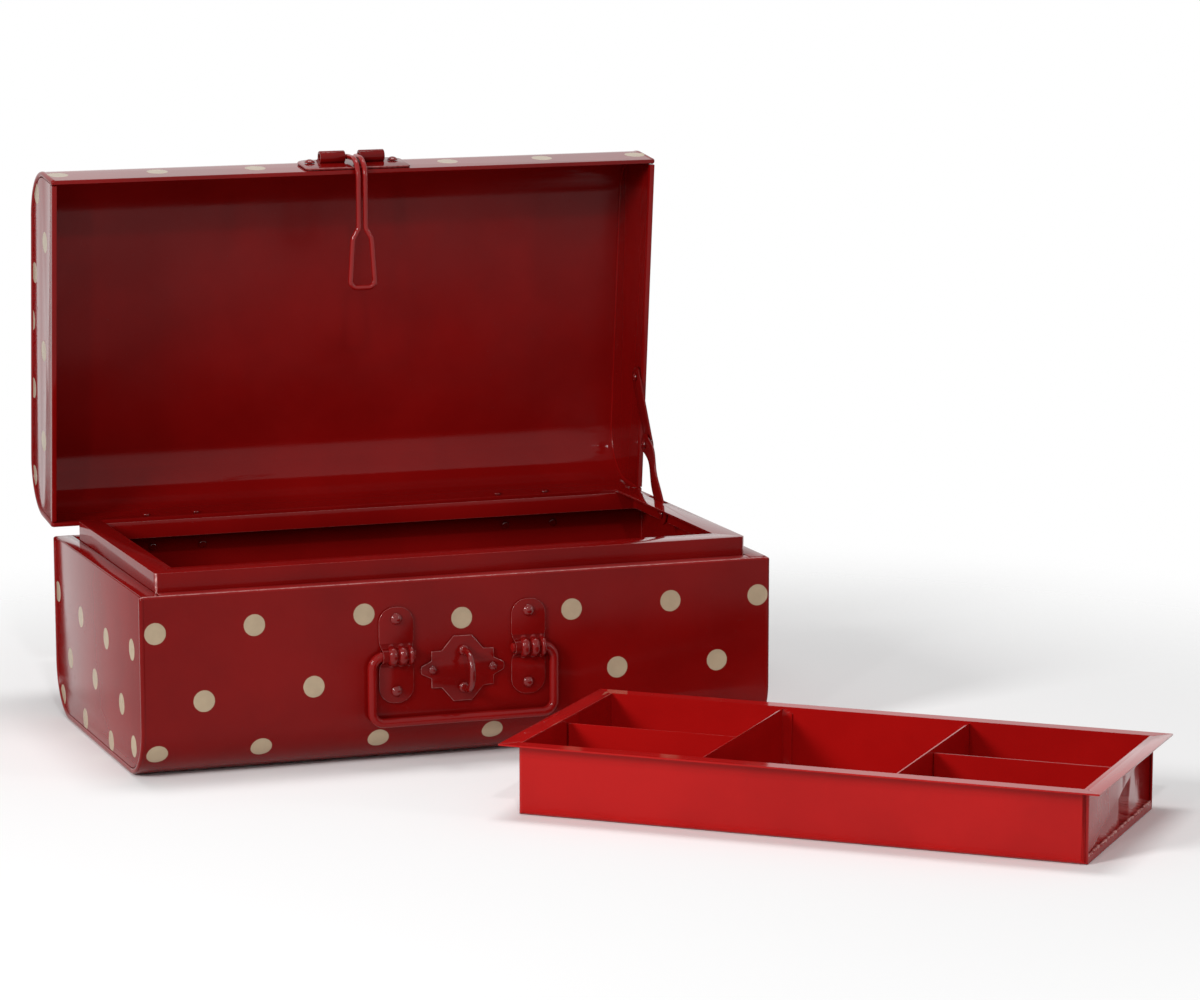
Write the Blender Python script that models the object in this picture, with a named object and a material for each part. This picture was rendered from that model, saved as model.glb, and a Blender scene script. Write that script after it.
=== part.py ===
"""Small sheet-metal storage suitcase with an open lid, a wire hasp, a bail handle,
a folding lid stay and a loose divided tray.

Metres, +Z up. X runs along the case, -Y is its front. The origin is the centre of
the base's underside. The lid is modelled closed and hung on an empty at its hinge,
which turns it to the open rest pose.
"""

import math

import bpy
import bmesh
from mathutils import Matrix, Vector

# Shared sizes
GAP = 0.0003
OVERRUN = 0.004
SHEET = 0.0008
FACET_DEGREES = 7.5
WIRE_FACET_DEGREES = 15.0

# The case
CASE_LENGTH = 0.300
CASE_DEPTH = 0.168
CORNER_RADIUS = 0.025
BASE_HEIGHT = 0.085
LID_HEIGHT = 0.0445
LID_SEAM = 0.0004
FOLD_RADIUS = 0.0016

# The seamed rings at the ends of both shells
RING_WIDTH = 0.0024
RING_DEPTH = 0.0026
RING_PROUD = 0.00025
RING_FLOOR_INSET = 0.0001
END_RECESS = 0.0014
SEAM_OVERLAP = 0.0010

# The collar that the lid closes over
COLLAR_END_SETBACK = 0.0093
COLLAR_FRONT_SETBACK = 0.0080
COLLAR_BACK_SETBACK = 0.0140
COLLAR_RISE = 0.0086
COLLAR_SKIRT = 0.0012
COLLAR_CORNER_RADIUS = 0.0022
COLLAR_END_FLANGE = 0.0110
COLLAR_FRONT_FLANGE = 0.0130
COLLAR_BACK_FLANGE = 0.0022
COLLAR_BACK_DROP = 0.0017
LEDGE_LIP = 0.0003

# The lid's rim
RIM_HEM = 0.0018
RIM_HEM_HEIGHT = 0.0028
RIM_BEAD_INWARD = 0.0003

# The hinges
OPEN_ANGLE = math.radians(84.0)
HINGE_SETBACK = 0.0029
HINGE_RISE = 0.0005
HINGE_SPACING_SHARE = 0.594
HINGE_LENGTH = 0.038
HINGE_LEAF_HEIGHT = 0.0150
HINGE_LEAF_CORNER = 0.004
HINGE_KNUCKLE_RADIUS = 0.0026
HINGE_BORE_RADIUS = 0.0015
HINGE_PIN_RADIUS = 0.0012
HINGE_PIN_HEAD_RADIUS = 0.0019
HINGE_PIN_HEAD = 0.0008
HINGE_MIDDLE_KNUCKLE = 0.0134
HINGE_RIVET_SPACING = 0.0246
HINGE_RIVET_DROP = 0.0085

# Rivets
RIVET_HEAD_RADIUS = 0.0026
RIVET_HEAD_HEIGHT = 0.0015
RIVET_SHANK_RADIUS = 0.0012
RIVET_TAIL_RADIUS = 0.0019
RIVET_TAIL_HEIGHT = 0.0007
SMALL_RIVET_HEAD_RADIUS = 0.0020
SMALL_RIVET_HEAD_HEIGHT = 0.0012

# The handle
HANDLE_HEIGHT_SHARE = 0.435
HANDLE_WIRE_RADIUS = 0.00215
HANDLE_WIDTH = 0.0868
HANDLE_DROP = 0.0308
HANDLE_SHOULDER_RADIUS = 0.0058
HANDLE_CORNER_RADIUS = 0.0055
BRACKET_SPACING = 0.0630
BRACKET_WIDTH = 0.0162
BRACKET_HEIGHT = 0.0440
BRACKET_END_RADIUS = 0.0072
BRACKET_WAIST = 0.0008
BRACKET_SHEET = 0.0009
BRACKET_RIVET_SPACING = 0.0332
BRACKET_RIB_WIDTH = 0.0034
BRACKET_RIB_HEIGHT = 0.0010
BRACKET_RIB_SPACING = 0.0060
HANDLE_NUB = 0.0016

# The staple and its plate
STAPLE_PLATE_DROP = 0.0081
STAPLE_PLATE_SHEET = 0.0009
STAPLE_PLATE_HALF_WIDTH = 0.0199
STAPLE_PLATE_HALF_HEIGHT = 0.0151
STAPLE_PLATE_RIVET_SPACING = 0.0288
STAPLE_WIRE_RADIUS = 0.0015
STAPLE_SPAN = 0.0172
STAPLE_REACH = 0.0142
STAPLE_BEND_RADIUS = 0.0078

# The hasp
HASP_PLATE_SHEET = 0.0009
HASP_PLATE_LENGTH = 0.0520
HASP_PLATE_HEIGHT = 0.0215
HASP_PLATE_END_RADIUS = 0.0062
HASP_PLATE_RIM_RADIUS = 0.0024
HASP_PLATE_LIFT = 0.0010
HASP_AXIS_LIFT = 0.0148
HASP_RIVET_SPACING = 0.0414
HASP_BARREL_RADIUS = 0.0030
HASP_BARREL_LENGTH = 0.0124
HASP_BARREL_BORE = 0.0018
HASP_BARREL_SPACING = 0.0072
HASP_TONGUE = 0.0075
HASP_WIRE_RADIUS = 0.00125
HASP_WIRE_SPACING = 0.0034
HASP_LOOP_WIDTH = 0.0113
HASP_FOOT_WIDTH = 0.0135
HASP_FOOT_RADIUS = 0.0034
HASP_BAIL_REACH = 0.0172
HASP_BAIL_DROP = 0.0612
HASP_LOOP_LENGTH = 0.0285
HASP_FLARE_LENGTH = 0.0052
HASP_BEND_RADIUS = 0.0090
HASP_END_ROOM = 0.0008

# The lid stay
STAY_SHEET = 0.0010
STAY_WIDTH = 0.0095
STAY_END_RADIUS = 0.0052
STAY_FOOT_SETBACK = 0.0584
STAY_FOOT_RISE = 0.0024
STAY_ELBOW_SETBACK = 0.0189
STAY_ELBOW_RISE = 0.0305
STAY_LID_SETBACK = 0.0607
STAY_LID_RISE = 0.0062
STAY_BOW = 0.0036
STAY_WALL_GAP = 0.0004
STAY_SWING_SHARE = 0.10
STAY_SLOT_WIDTH = 0.0022
STAY_SLOT_ROOM = 0.0010
STAY_LINK_SPACING = 0.0010
STAY_JOGGLE_START_SHARE = 0.26
STAY_JOGGLE_END_SHARE = 0.85

# The tray
TRAY_LENGTH = 0.2530
TRAY_DEPTH = 0.1110
TRAY_HEIGHT = 0.0320
TRAY_FLANGE = 0.0065
TRAY_SHEET = 0.0007
TRAY_CORNER_RADIUS = 0.0020
TRAY_END_INSET = 0.0012
TRAY_PLACE = (-0.0106, -0.1935)
TRAY_TURN = math.radians(-40.6)
DIVIDER_SPACING = 0.0870
DIVIDER_DROP = 0.0008
LONG_DIVIDER_DROP = 0.0026
DIVIDER_TAB = 0.0050
LONG_DIVIDER_SHARE = 0.495

# Places worked out from the sizes above
HALF_LENGTH = CASE_LENGTH / 2
HALF_DEPTH = CASE_DEPTH / 2
WALL_FACE = HALF_DEPTH - RING_PROUD
LID_RIM = BASE_HEIGHT + LID_SEAM
LID_TOP = LID_RIM + LID_HEIGHT
HINGE_Y = HALF_DEPTH + HINGE_SETBACK
HINGE_Z = BASE_HEIGHT + HINGE_RISE
COLLAR_HALF_LENGTH = HALF_LENGTH - COLLAR_END_SETBACK
HINGE_SPACING = CASE_LENGTH * HINGE_SPACING_SHARE
COLLAR_FRONT = -HALF_DEPTH + COLLAR_FRONT_SETBACK
COLLAR_BACK = HALF_DEPTH - COLLAR_BACK_SETBACK
COLLAR_TOP = BASE_HEIGHT + COLLAR_RISE
END_PLATE_OUTER = HALF_LENGTH - END_RECESS
END_PLATE_INNER = END_PLATE_OUTER - SHEET
HANDLE_AXIS_HEIGHT = CORNER_RADIUS + (BASE_HEIGHT - CORNER_RADIUS) * HANDLE_HEIGHT_SHARE
STAPLE_PLATE_HEIGHT = HANDLE_AXIS_HEIGHT - STAPLE_PLATE_DROP
STAY_FOOT = (HINGE_Y - STAY_FOOT_SETBACK, BASE_HEIGHT + STAY_FOOT_RISE)
STAY_ELBOW = (HINGE_Y - STAY_ELBOW_SETBACK, BASE_HEIGHT + STAY_ELBOW_RISE)
STAY_LID_PIVOT = (HINGE_Y - STAY_LID_SETBACK, BASE_HEIGHT + STAY_LID_RISE)

ENAMEL = (0.30, 0.008, 0.007)
ENAMEL_INSIDE = (0.22, 0.006, 0.006)


def make_material(name, colour, roughness, metallic=0.0):
    """Glossy baked enamel in one colour."""
    material = bpy.data.materials.new(name)
    material.use_nodes = True
    shader = material.node_tree.nodes["Principled BSDF"]
    shader.inputs["Base Color"].default_value = (*colour, 1.0)
    shader.inputs["Roughness"].default_value = roughness
    shader.inputs["Metallic"].default_value = metallic
    return material


def clear_scene():
    for thing in list(bpy.data.objects):
        bpy.data.objects.remove(thing, do_unlink=True)


def add_empty(name, place, turn=(0, 0, 0), parent=None):
    empty = bpy.data.objects.new(name, None)
    empty.location = place
    empty.rotation_euler = turn
    empty.parent = parent
    bpy.context.collection.objects.link(empty)
    return empty


def add_object(name, data, material=None, parent=None, place=(0, 0, 0)):
    """Puts mesh or curve data in the scene under its parent empty."""
    thing = bpy.data.objects.new(name, data)
    thing.location = place
    thing.parent = parent
    if material is not None:
        data.materials.append(material)
    bpy.context.collection.objects.link(thing)
    return thing


def arc_points(centre, radius, start, end, step=FACET_DEGREES):
    """Points on an arc, both ends included; angles in degrees."""
    count = max(1, round(abs(end - start) / step))
    points = []
    for i in range(count + 1):
        angle = math.radians(start + (end - start) * i / count)
        points.append((centre[0] + radius * math.cos(angle), centre[1] + radius * math.sin(angle)))
    return points


def prism_mesh(name, outline, low, high, axis):
    """Extrudes a flat outline along one axis. The outline's two coordinates are the
    other two axes in X, Y, Z order."""
    def point(a, b, w):
        if axis == "X":
            return (w, a, b)
        if axis == "Y":
            return (a, w, b)
        return (a, b, w)

    build = bmesh.new()
    lower = [build.verts.new(point(a, b, low)) for a, b in outline]
    upper = [build.verts.new(point(a, b, high)) for a, b in outline]
    build.faces.new(lower)
    build.faces.new(upper)
    count = len(outline)
    for i in range(count):
        j = (i + 1) % count
        build.faces.new((lower[i], lower[j], upper[j], upper[i]))
    bmesh.ops.recalc_face_normals(build, faces=build.faces)
    mesh = bpy.data.meshes.new(name)
    build.to_mesh(mesh)
    build.free()
    return mesh


def box_mesh(name, low, high):
    corners = [(low[0], low[1]), (high[0], low[1]), (high[0], high[1]), (low[0], high[1])]
    return prism_mesh(name, corners, low[2], high[2], "Z")


def turned_mesh(name, profile, origin, direction, segments=12):
    """Revolves (radius, height) points about a direction through the origin. The
    profile starts and ends on the axis."""
    build = bmesh.new()
    rings = []
    for radius, height in profile:
        if radius == 0:
            rings.append([build.verts.new((0, 0, height))])
            continue
        ring = []
        for i in range(segments):
            angle = 2 * math.pi * i / segments
            ring.append(build.verts.new((radius * math.cos(angle), radius * math.sin(angle), height)))
        rings.append(ring)
    for below, above in zip(rings[:-1], rings[1:]):
        for i in range(segments):
            j = (i + 1) % segments
            if len(below) == 1:
                build.faces.new((below[0], above[i], above[j]))
            elif len(above) == 1:
                build.faces.new((below[i], below[j], above[0]))
            else:
                build.faces.new((below[i], below[j], above[j], above[i]))
    turn = Vector((0, 0, 1)).rotation_difference(Vector(direction)).to_matrix().to_4x4()
    build.transform(Matrix.Translation(origin) @ turn)
    bmesh.ops.recalc_face_normals(build, faces=build.faces)
    mesh = bpy.data.meshes.new(name)
    build.to_mesh(mesh)
    build.free()
    mesh.shade_smooth()
    mesh.set_sharp_from_angle(angle=math.radians(35))
    return mesh


def rod_mesh(name, start, end, radius, segments=12):
    """A plain round bar between two points."""
    run = Vector(end) - Vector(start)
    profile = [(0, 0), (radius, 0), (radius, run.length), (0, run.length)]
    return turned_mesh(name, profile, start, run, segments)


def joined_mesh(name, meshes):
    """One mesh of several that don't touch, used for cutters only."""
    build = bmesh.new()
    for mesh in meshes:
        build.from_mesh(mesh)
    joined = bpy.data.meshes.new(name)
    build.to_mesh(joined)
    build.free()
    return joined


def combine(target, mesh, operation):
    """Adds an exact Boolean with a hidden helper that shares the target's parent."""
    helper = add_object(f"{target.name}_{operation.lower()}_{len(target.modifiers)}", mesh,
                        parent=target.parent, place=target.location)
    helper.hide_render = True
    helper.display_type = "WIRE"
    modifier = target.modifiers.new(operation.title(), "BOOLEAN")
    modifier.operation = operation
    modifier.solver = "EXACT"
    modifier.object = helper


def fillet_path(corners, radii, step=WIRE_FACET_DEGREES):
    """A route through 3-D corners with each inner corner rounded by its radius."""
    points = [Vector(corners[0])]
    for before, corner, after, radius in zip(corners[:-2], corners[1:-1], corners[2:], radii):
        before, corner, after = Vector(before), Vector(corner), Vector(after)
        inward = (before - corner).normalized()
        outward = (after - corner).normalized()
        half = inward.angle(outward) / 2
        centre = corner + (inward + outward).normalized() * (radius / math.sin(half))
        first = corner + inward * (radius / math.tan(half)) - centre
        last = corner + outward * (radius / math.tan(half)) - centre
        sweep = first.angle(last)
        count = max(1, round(math.degrees(sweep) / step))
        for i in range(count + 1):
            share = i / count
            spread = first * math.sin((1 - share) * sweep) + last * math.sin(share * sweep)
            points.append(centre + spread / math.sin(sweep))
    points.append(Vector(corners[-1]))
    return points


def add_wire(name, points, radius, material, parent=None, place=(0, 0, 0), resolution=3):
    """A round wire along a route, with closed ends."""
    curve = bpy.data.curves.new(name, "CURVE")
    curve.dimensions = "3D"
    curve.bevel_depth = radius
    curve.bevel_resolution = resolution
    curve.use_fill_caps = True
    spline = curve.splines.new("POLY")
    spline.points.add(len(points) - 1)
    for target, point in zip(spline.points, points):
        target.co = (*point, 1.0)
    spline.use_smooth = True
    return add_object(name, curve, material, parent, place)


def tub_contour(half, rim, floor, radius):
    """Half-open U in (y, z) from the front rim round the floor to the back rim. It
    opens upwards or downwards, as the rim lies above or below the floor."""
    way = 1 if rim > floor else -1
    centre = floor + way * radius
    points = [(-half, rim)]
    points += arc_points((-half + radius, centre), radius, 180, 180 + way * 90)
    points += arc_points((half - radius, centre), radius, -way * 90, 0)
    points.append((half, rim))
    return points


def tub_outline(half, rim, floor, radius, wall):
    """The section of a U-shaped sheet of one wall thickness."""
    way = 1 if rim > floor else -1
    outer = tub_contour(half, rim, floor, radius)
    inner = tub_contour(half - wall, rim, floor + way * wall, radius - wall)
    return outer + inner[::-1]


def base_section():
    """The base sheet: front wall, floor and back wall, with a rounded fold at the top
    of each wall that turns inwards as a ledge up to the collar."""
    half, top, fold = WALL_FACE, BASE_HEIGHT, FOLD_RADIUS
    front_lip = COLLAR_FRONT - GAP
    back_lip = COLLAR_BACK + GAP
    outer = tub_contour(half, top - fold, 0, CORNER_RADIUS)
    front = [(front_lip, top)] + arc_points((-half + fold, top - fold), fold, 90, 180, 30)
    back = arc_points((half - fold, top - fold), fold, 0, 90, 30) + [(back_lip, top)]
    inner = tub_contour(half - SHEET, top - SHEET, SHEET, CORNER_RADIUS - SHEET)
    under_back = [(back_lip, top - SHEET)]
    under_front = [(front_lip, top - SHEET)]
    return front + outer[1:-1] + back + under_back + inner[::-1] + under_front


def lid_section():
    """The lid sheet: the base's U turned over, with a hemmed rim on each wall."""
    half = WALL_FACE
    outer = tub_contour(half, LID_RIM, LID_TOP, CORNER_RADIUS)
    inner = tub_contour(half - SHEET, LID_RIM + RIM_HEM_HEIGHT, LID_TOP - SHEET, CORNER_RADIUS - SHEET)
    hem_back = [(half - RIM_HEM, LID_RIM), (half - RIM_HEM, LID_RIM + RIM_HEM_HEIGHT)]
    hem_front = [(-half + RIM_HEM, LID_RIM + RIM_HEM_HEIGHT), (-half + RIM_HEM, LID_RIM)]
    return outer + hem_back + inner[::-1] + hem_front


def ring_meshes(name, rim, floor):
    """The two seamed rings that close over the ends of a shell."""
    outline = tub_outline(HALF_DEPTH, rim, floor, CORNER_RADIUS, RING_DEPTH)
    inner = HALF_LENGTH - RING_WIDTH
    left = prism_mesh(name + "_left", outline, -HALF_LENGTH, -inner, "X")
    right = prism_mesh(name + "_right", outline, inner, HALF_LENGTH, "X")
    return left, right


def rivet_holes(name, places, direction, radius=RIVET_SHANK_RADIUS + GAP, reach=OVERRUN):
    """Cutters for rivet holes, each a bar through a sheet both ways."""
    run = Vector(direction).normalized() * reach
    bars = [rod_mesh(f"{name}_{i}", Vector(p) - run, Vector(p) + run, radius)
            for i, p in enumerate(places)]
    return joined_mesh(name, bars)


def make_shells(enamel, lid):
    """The base's and the lid's wrapper sheets."""
    sheet_end = HALF_LENGTH - SEAM_OVERLAP
    base = add_object("base_shell", prism_mesh("base_shell", base_section(), -sheet_end, sheet_end, "X"),
                      enamel)
    for ring in ring_meshes("base_ring", BASE_HEIGHT - GAP, RING_FLOOR_INSET):
        combine(base, ring, "UNION")
    lip = WALL_FACE - SHEET - LEDGE_LIP
    for side in (-1, 1):
        near = side * (COLLAR_HALF_LENGTH - GAP)
        far = side * (HALF_LENGTH + OVERRUN)
        low, high = min(near, far), max(near, far)
        notch = box_mesh("ledge_notch", (low, -lip, BASE_HEIGHT - 3 * SHEET), (high, lip, BASE_HEIGHT + OVERRUN))
        combine(base, notch, "DIFFERENCE")
    combine(base, rivet_holes("front_holes", front_rivet_places(), (0, 1, 0)), "DIFFERENCE")
    combine(base, rivet_holes("hinge_holes", hinge_rivet_places(-1), (0, 1, 0)), "DIFFERENCE")

    cover = add_object("lid_shell", prism_mesh("lid_shell", lid_section(), -sheet_end, sheet_end, "X"),
                       enamel, lid, lid_offset())
    for ring in ring_meshes("lid_ring", LID_RIM + GAP, LID_TOP - RING_FLOOR_INSET):
        combine(cover, ring, "UNION")
    combine(cover, rivet_holes("hasp_holes", hasp_rivet_places(), (0, 1, 0)), "DIFFERENCE")
    combine(cover, rivet_holes("hinge_holes", hinge_rivet_places(1), (0, 1, 0)), "DIFFERENCE")


def end_outline(rim, floor):
    """The filled outline of an end plate, just inside its ring."""
    way = 1 if rim > floor else -1
    inset = RING_DEPTH + GAP
    return tub_contour(HALF_DEPTH - inset, rim, floor + way * inset, CORNER_RADIUS - inset)


def make_ends(enamel, lid):
    """The recessed end plates. The base's are folded inwards at the top as a ledge,
    the lid's have a hemmed rim."""
    half_ring = HALF_DEPTH - RING_DEPTH - GAP
    half_sheet = WALL_FACE - SHEET - LEDGE_LIP - GAP
    ring_inner = HALF_LENGTH - RING_WIDTH - GAP
    bead = END_PLATE_OUTER + GAP
    ledge_inner = COLLAR_HALF_LENGTH + GAP
    for side, word in ((-1, "left"), (1, "right")):
        def span(a, b):
            return (a, b) if side > 0 else (-b, -a)

        low, high = span(END_PLATE_INNER, END_PLATE_OUTER)
        plate = prism_mesh("base_end", end_outline(BASE_HEIGHT - SHEET / 2, RING_FLOOR_INSET), low, high, "X")
        end = add_object("base_end_" + word, plate, enamel)
        low, high = span(ledge_inner, bead)
        ledge = box_mesh("ledge", (low, -half_ring, BASE_HEIGHT - SHEET), (high, half_ring, BASE_HEIGHT))
        combine(end, ledge, "UNION")
        low, high = span(ledge_inner + SHEET / 4, ring_inner)
        trim = SHEET / 8
        ears = box_mesh("ears", (low, -half_sheet, BASE_HEIGHT - SHEET + trim), (high, half_sheet, BASE_HEIGHT - trim))
        combine(end, ears, "UNION")

        low, high = span(END_PLATE_INNER, END_PLATE_OUTER)
        plate = prism_mesh("lid_end", end_outline(LID_RIM + SHEET / 2, LID_TOP - RING_FLOOR_INSET), low, high, "X")
        end = add_object("lid_end_" + word, plate, enamel, lid, lid_offset())
        low, high = span(END_PLATE_INNER - RIM_BEAD_INWARD, HALF_LENGTH - RING_PROUD)
        rim = box_mesh("rim", (low, -half_ring, LID_RIM), (high, half_ring, LID_RIM + RIM_HEM_HEIGHT))
        combine(end, rim, "UNION")
        if side > 0:
            pivot = (END_PLATE_INNER, *STAY_LID_PIVOT)
            combine(end, rivet_holes("stay_hole", [pivot], (1, 0, 0)), "DIFFERENCE")


def rounded_rectangle(low, high, radius, step=30):
    """A rectangle in two coordinates with round corners."""
    (x0, y0), (x1, y1) = low, high
    points = arc_points((x1 - radius, y0 + radius), radius, -90, 0, step)
    points += arc_points((x1 - radius, y1 - radius), radius, 0, 90, step)
    points += arc_points((x0 + radius, y1 - radius), radius, 90, 180, step)
    points += arc_points((x0 + radius, y0 + radius), radius, 180, 270, step)
    return points


def make_collar(enamel):
    """The raised rim inside the base, with a wide flange at each end that the stored
    tray rests on, a front flange, a lower back wall and the slot for the stay."""
    half, front, back = COLLAR_HALF_LENGTH, COLLAR_FRONT, COLLAR_BACK
    bottom = BASE_HEIGHT - COLLAR_SKIRT
    outer = rounded_rectangle((-half, front), (half, back), COLLAR_CORNER_RADIUS)
    collar = add_object("base_collar", prism_mesh("base_collar", outer, bottom, COLLAR_TOP, "Z"), enamel)
    inside = rounded_rectangle((-half + SHEET, front + SHEET), (half - SHEET, back - SHEET),
                               COLLAR_CORNER_RADIUS - SHEET)
    combine(collar, prism_mesh("cavity", inside, bottom - OVERRUN, COLLAR_TOP - SHEET, "Z"), "DIFFERENCE")
    low, high = collar_mouth()
    above, below, lowered = COLLAR_TOP + OVERRUN, bottom - OVERRUN, COLLAR_TOP - COLLAR_BACK_DROP
    profile = [(low[1], below), (low[1], above), (back + OVERRUN, above), (back + OVERRUN, lowered),
               (high[1], lowered), (high[1], below)]
    combine(collar, prism_mesh("mouth", profile, low[0], high[0], "X"), "DIFFERENCE")
    combine(collar, stay_slot(), "DIFFERENCE")
    foot = (COLLAR_HALF_LENGTH - SHEET, *STAY_FOOT)
    combine(collar, rivet_holes("stay_hole", [foot], (1, 0, 0)), "DIFFERENCE")


def collar_mouth():
    half = COLLAR_HALF_LENGTH - COLLAR_END_FLANGE
    return ((-half, COLLAR_FRONT + COLLAR_FRONT_FLANGE), (half, COLLAR_BACK - COLLAR_BACK_FLANGE))


def lid_offset():
    return (0, -HINGE_Y, -HINGE_Z)


def opened(y, z):
    """Where a point of the closed lid lies in the open rest pose, in (y, z)."""
    dy, dz = y - HINGE_Y, z - HINGE_Z
    c, s = math.cos(OPEN_ANGLE), math.sin(OPEN_ANGLE)
    return (HINGE_Y + dy * c + dz * s, HINGE_Z - dy * s + dz * c)


def hinge_rivet_places(side):
    """Four rivet places, on the base's back wall (side -1) or the lid's (side 1)."""
    places = []
    for hinge in (-1, 1):
        for end in (-1, 1):
            x = hinge * HINGE_SPACING / 2 + end * HINGE_RIVET_SPACING / 2
            places.append((x, WALL_FACE, HINGE_Z + side * HINGE_RIVET_DROP))
    return places


def front_rivet_places():
    """Rivet places of the handle brackets and the staple plate on the front wall."""
    places = []
    for side in (-1, 1):
        for end in (-1, 1):
            places.append((side * BRACKET_SPACING / 2, -WALL_FACE, HANDLE_AXIS_HEIGHT + end * BRACKET_RIVET_SPACING / 2))
    for side in (-1, 1):
        places.append((side * STAPLE_PLATE_RIVET_SPACING / 2, -WALL_FACE, STAPLE_PLATE_HEIGHT))
    return places


def hasp_rivet_places():
    z = LID_RIM + HASP_AXIS_LIFT
    return [(side * HASP_RIVET_SPACING / 2, -WALL_FACE, z) for side in (-1, 1)]


def rivet_mesh(name, place, outward, stack, head_radius, head_height, tail_height):
    """A set rivet. The place is on the outer face of the sheet that it passes; the
    stack is the thickness outside that face, and the sheet itself lies inside."""
    head = stack + GAP
    tail = -SHEET - GAP
    profile = [(0, head + head_height)]
    for share in (0.35, 0.7):
        angle = share * math.pi / 2
        profile.append((head_radius * math.sin(angle), head + head_height * math.cos(angle)))
    profile += [(head_radius, head), (RIVET_SHANK_RADIUS, head)]
    profile += [(RIVET_SHANK_RADIUS, tail), (RIVET_TAIL_RADIUS, tail)]
    profile += [(RIVET_TAIL_RADIUS * math.cos(math.pi / 6), tail - tail_height), (0, tail - tail_height)]
    return turned_mesh(name, profile, place, outward)


def add_rivet(name, place, outward, stack, enamel, parent=None, offset=(0, 0, 0),
              head=(RIVET_HEAD_RADIUS, RIVET_HEAD_HEIGHT), tail_height=RIVET_TAIL_HEIGHT):
    mesh = rivet_mesh(name, place, outward, stack, head[0], head[1], tail_height)
    return add_object(name, mesh, enamel, parent, offset)


def leaf_outline(centre, axis_z, side):
    """A hinge leaf in (x, z). It runs up to the axis only at its own knuckles."""
    half = HINGE_LENGTH / 2
    middle = HINGE_MIDDLE_KNUCKLE / 2
    clear = HINGE_KNUCKLE_RADIUS + GAP
    tip = axis_z + side * HINGE_LEAF_HEIGHT
    near = axis_z + side * clear
    at_axis = axis_z - side * GAP
    radius = HINGE_LEAF_CORNER
    right = arc_points((half - radius, tip - side * radius), radius, 0, side * 90, 30)
    left = arc_points((-half + radius, tip - side * radius), radius, side * 90, side * 180, 30)
    if side < 0:
        own = [(-half, at_axis), (-middle - GAP, at_axis), (-middle - GAP, near),
               (middle + GAP, near), (middle + GAP, at_axis), (half, at_axis)]
    else:
        own = [(-half, near), (-middle, near), (-middle, at_axis),
               (middle, at_axis), (middle, near), (half, near)]
    return [(centre + x, z) for x, z in own + right + left]


def make_hinges(enamel, lid):
    """Two butt hinges on the back: a base leaf with two knuckles, a lid leaf with one
    between them, and a headed pin."""
    half = HINGE_LENGTH / 2
    middle = HINGE_MIDDLE_KNUCKLE / 2
    face = WALL_FACE + GAP
    for hinge, word in ((-1, "left"), (1, "right")):
        centre = hinge * HINGE_SPACING / 2
        spans = {"base": ((-half, -middle - GAP), (middle + GAP, half)), "lid": ((-middle, middle),)}
        for side, part in ((-1, "base"), (1, "lid")):
            name = f"hinge_{word}_{part}_leaf"
            mesh = prism_mesh(name, leaf_outline(centre, HINGE_Z, side), face, face + SHEET, "Y")
            parent, offset = (None, (0, 0, 0)) if part == "base" else (lid, lid_offset())
            leaf = add_object(name, mesh, enamel, parent, offset)
            for low, high in spans[part]:
                knuckle = rod_mesh("knuckle", (centre + low, HINGE_Y, HINGE_Z), (centre + high, HINGE_Y, HINGE_Z),
                                   HINGE_KNUCKLE_RADIUS, 16)
                combine(leaf, knuckle, "UNION")
            bore = rod_mesh("bore", (centre - half - OVERRUN, HINGE_Y, HINGE_Z),
                            (centre + half + OVERRUN, HINGE_Y, HINGE_Z), HINGE_BORE_RADIUS, 16)
            combine(leaf, bore, "DIFFERENCE")
            places = [p for p in hinge_rivet_places(side) if (p[0] > 0) == (hinge > 0)]
            combine(leaf, rivet_holes("holes", places, (0, 1, 0)), "DIFFERENCE")
            for end, place in zip(("left", "right"), places):
                add_rivet(f"rivet_{name.replace('_leaf', '')}_{end}", place, (0, 1, 0), GAP + SHEET, enamel,
                          parent, offset)
        reach = half + GAP
        head, height = HINGE_PIN_HEAD_RADIUS, HINGE_PIN_HEAD
        profile = [(0, -reach - height), (head / 2, -reach - height), (head, -reach - height / 2), (head, -reach),
                   (HINGE_PIN_RADIUS, -reach), (HINGE_PIN_RADIUS, reach), (head, reach),
                   (head, reach + height / 2), (head / 2, reach + height), (0, reach + height)]
        pin = turned_mesh("pin", profile, (centre, HINGE_Y, HINGE_Z), (1, 0, 0))
        add_object(f"hinge_{word}_pin", pin, enamel)


def bracket_outline(width, height, centre):
    """The bracket's face in (x, z): two round-ended tabs with a slight waist between."""
    half, tall, radius, waist = width / 2, height / 2, BRACKET_END_RADIUS, BRACKET_WAIST
    cx, cz = centre
    tab = tall - radius
    neck = HANDLE_WIRE_RADIUS + GAP + BRACKET_SHEET
    right = arc_points((half - radius, tab), radius, 90, 0, 15)
    right += [(half, neck * 2), (half - waist, neck), (half - waist, -neck), (half, -neck * 2)]
    right += arc_points((half - radius, -tab), radius, 0, -90, 15)
    left = [(-x, z) for x, z in reversed(right)]
    return [(cx + x, cz + z) for x, z in right + left]


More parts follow.
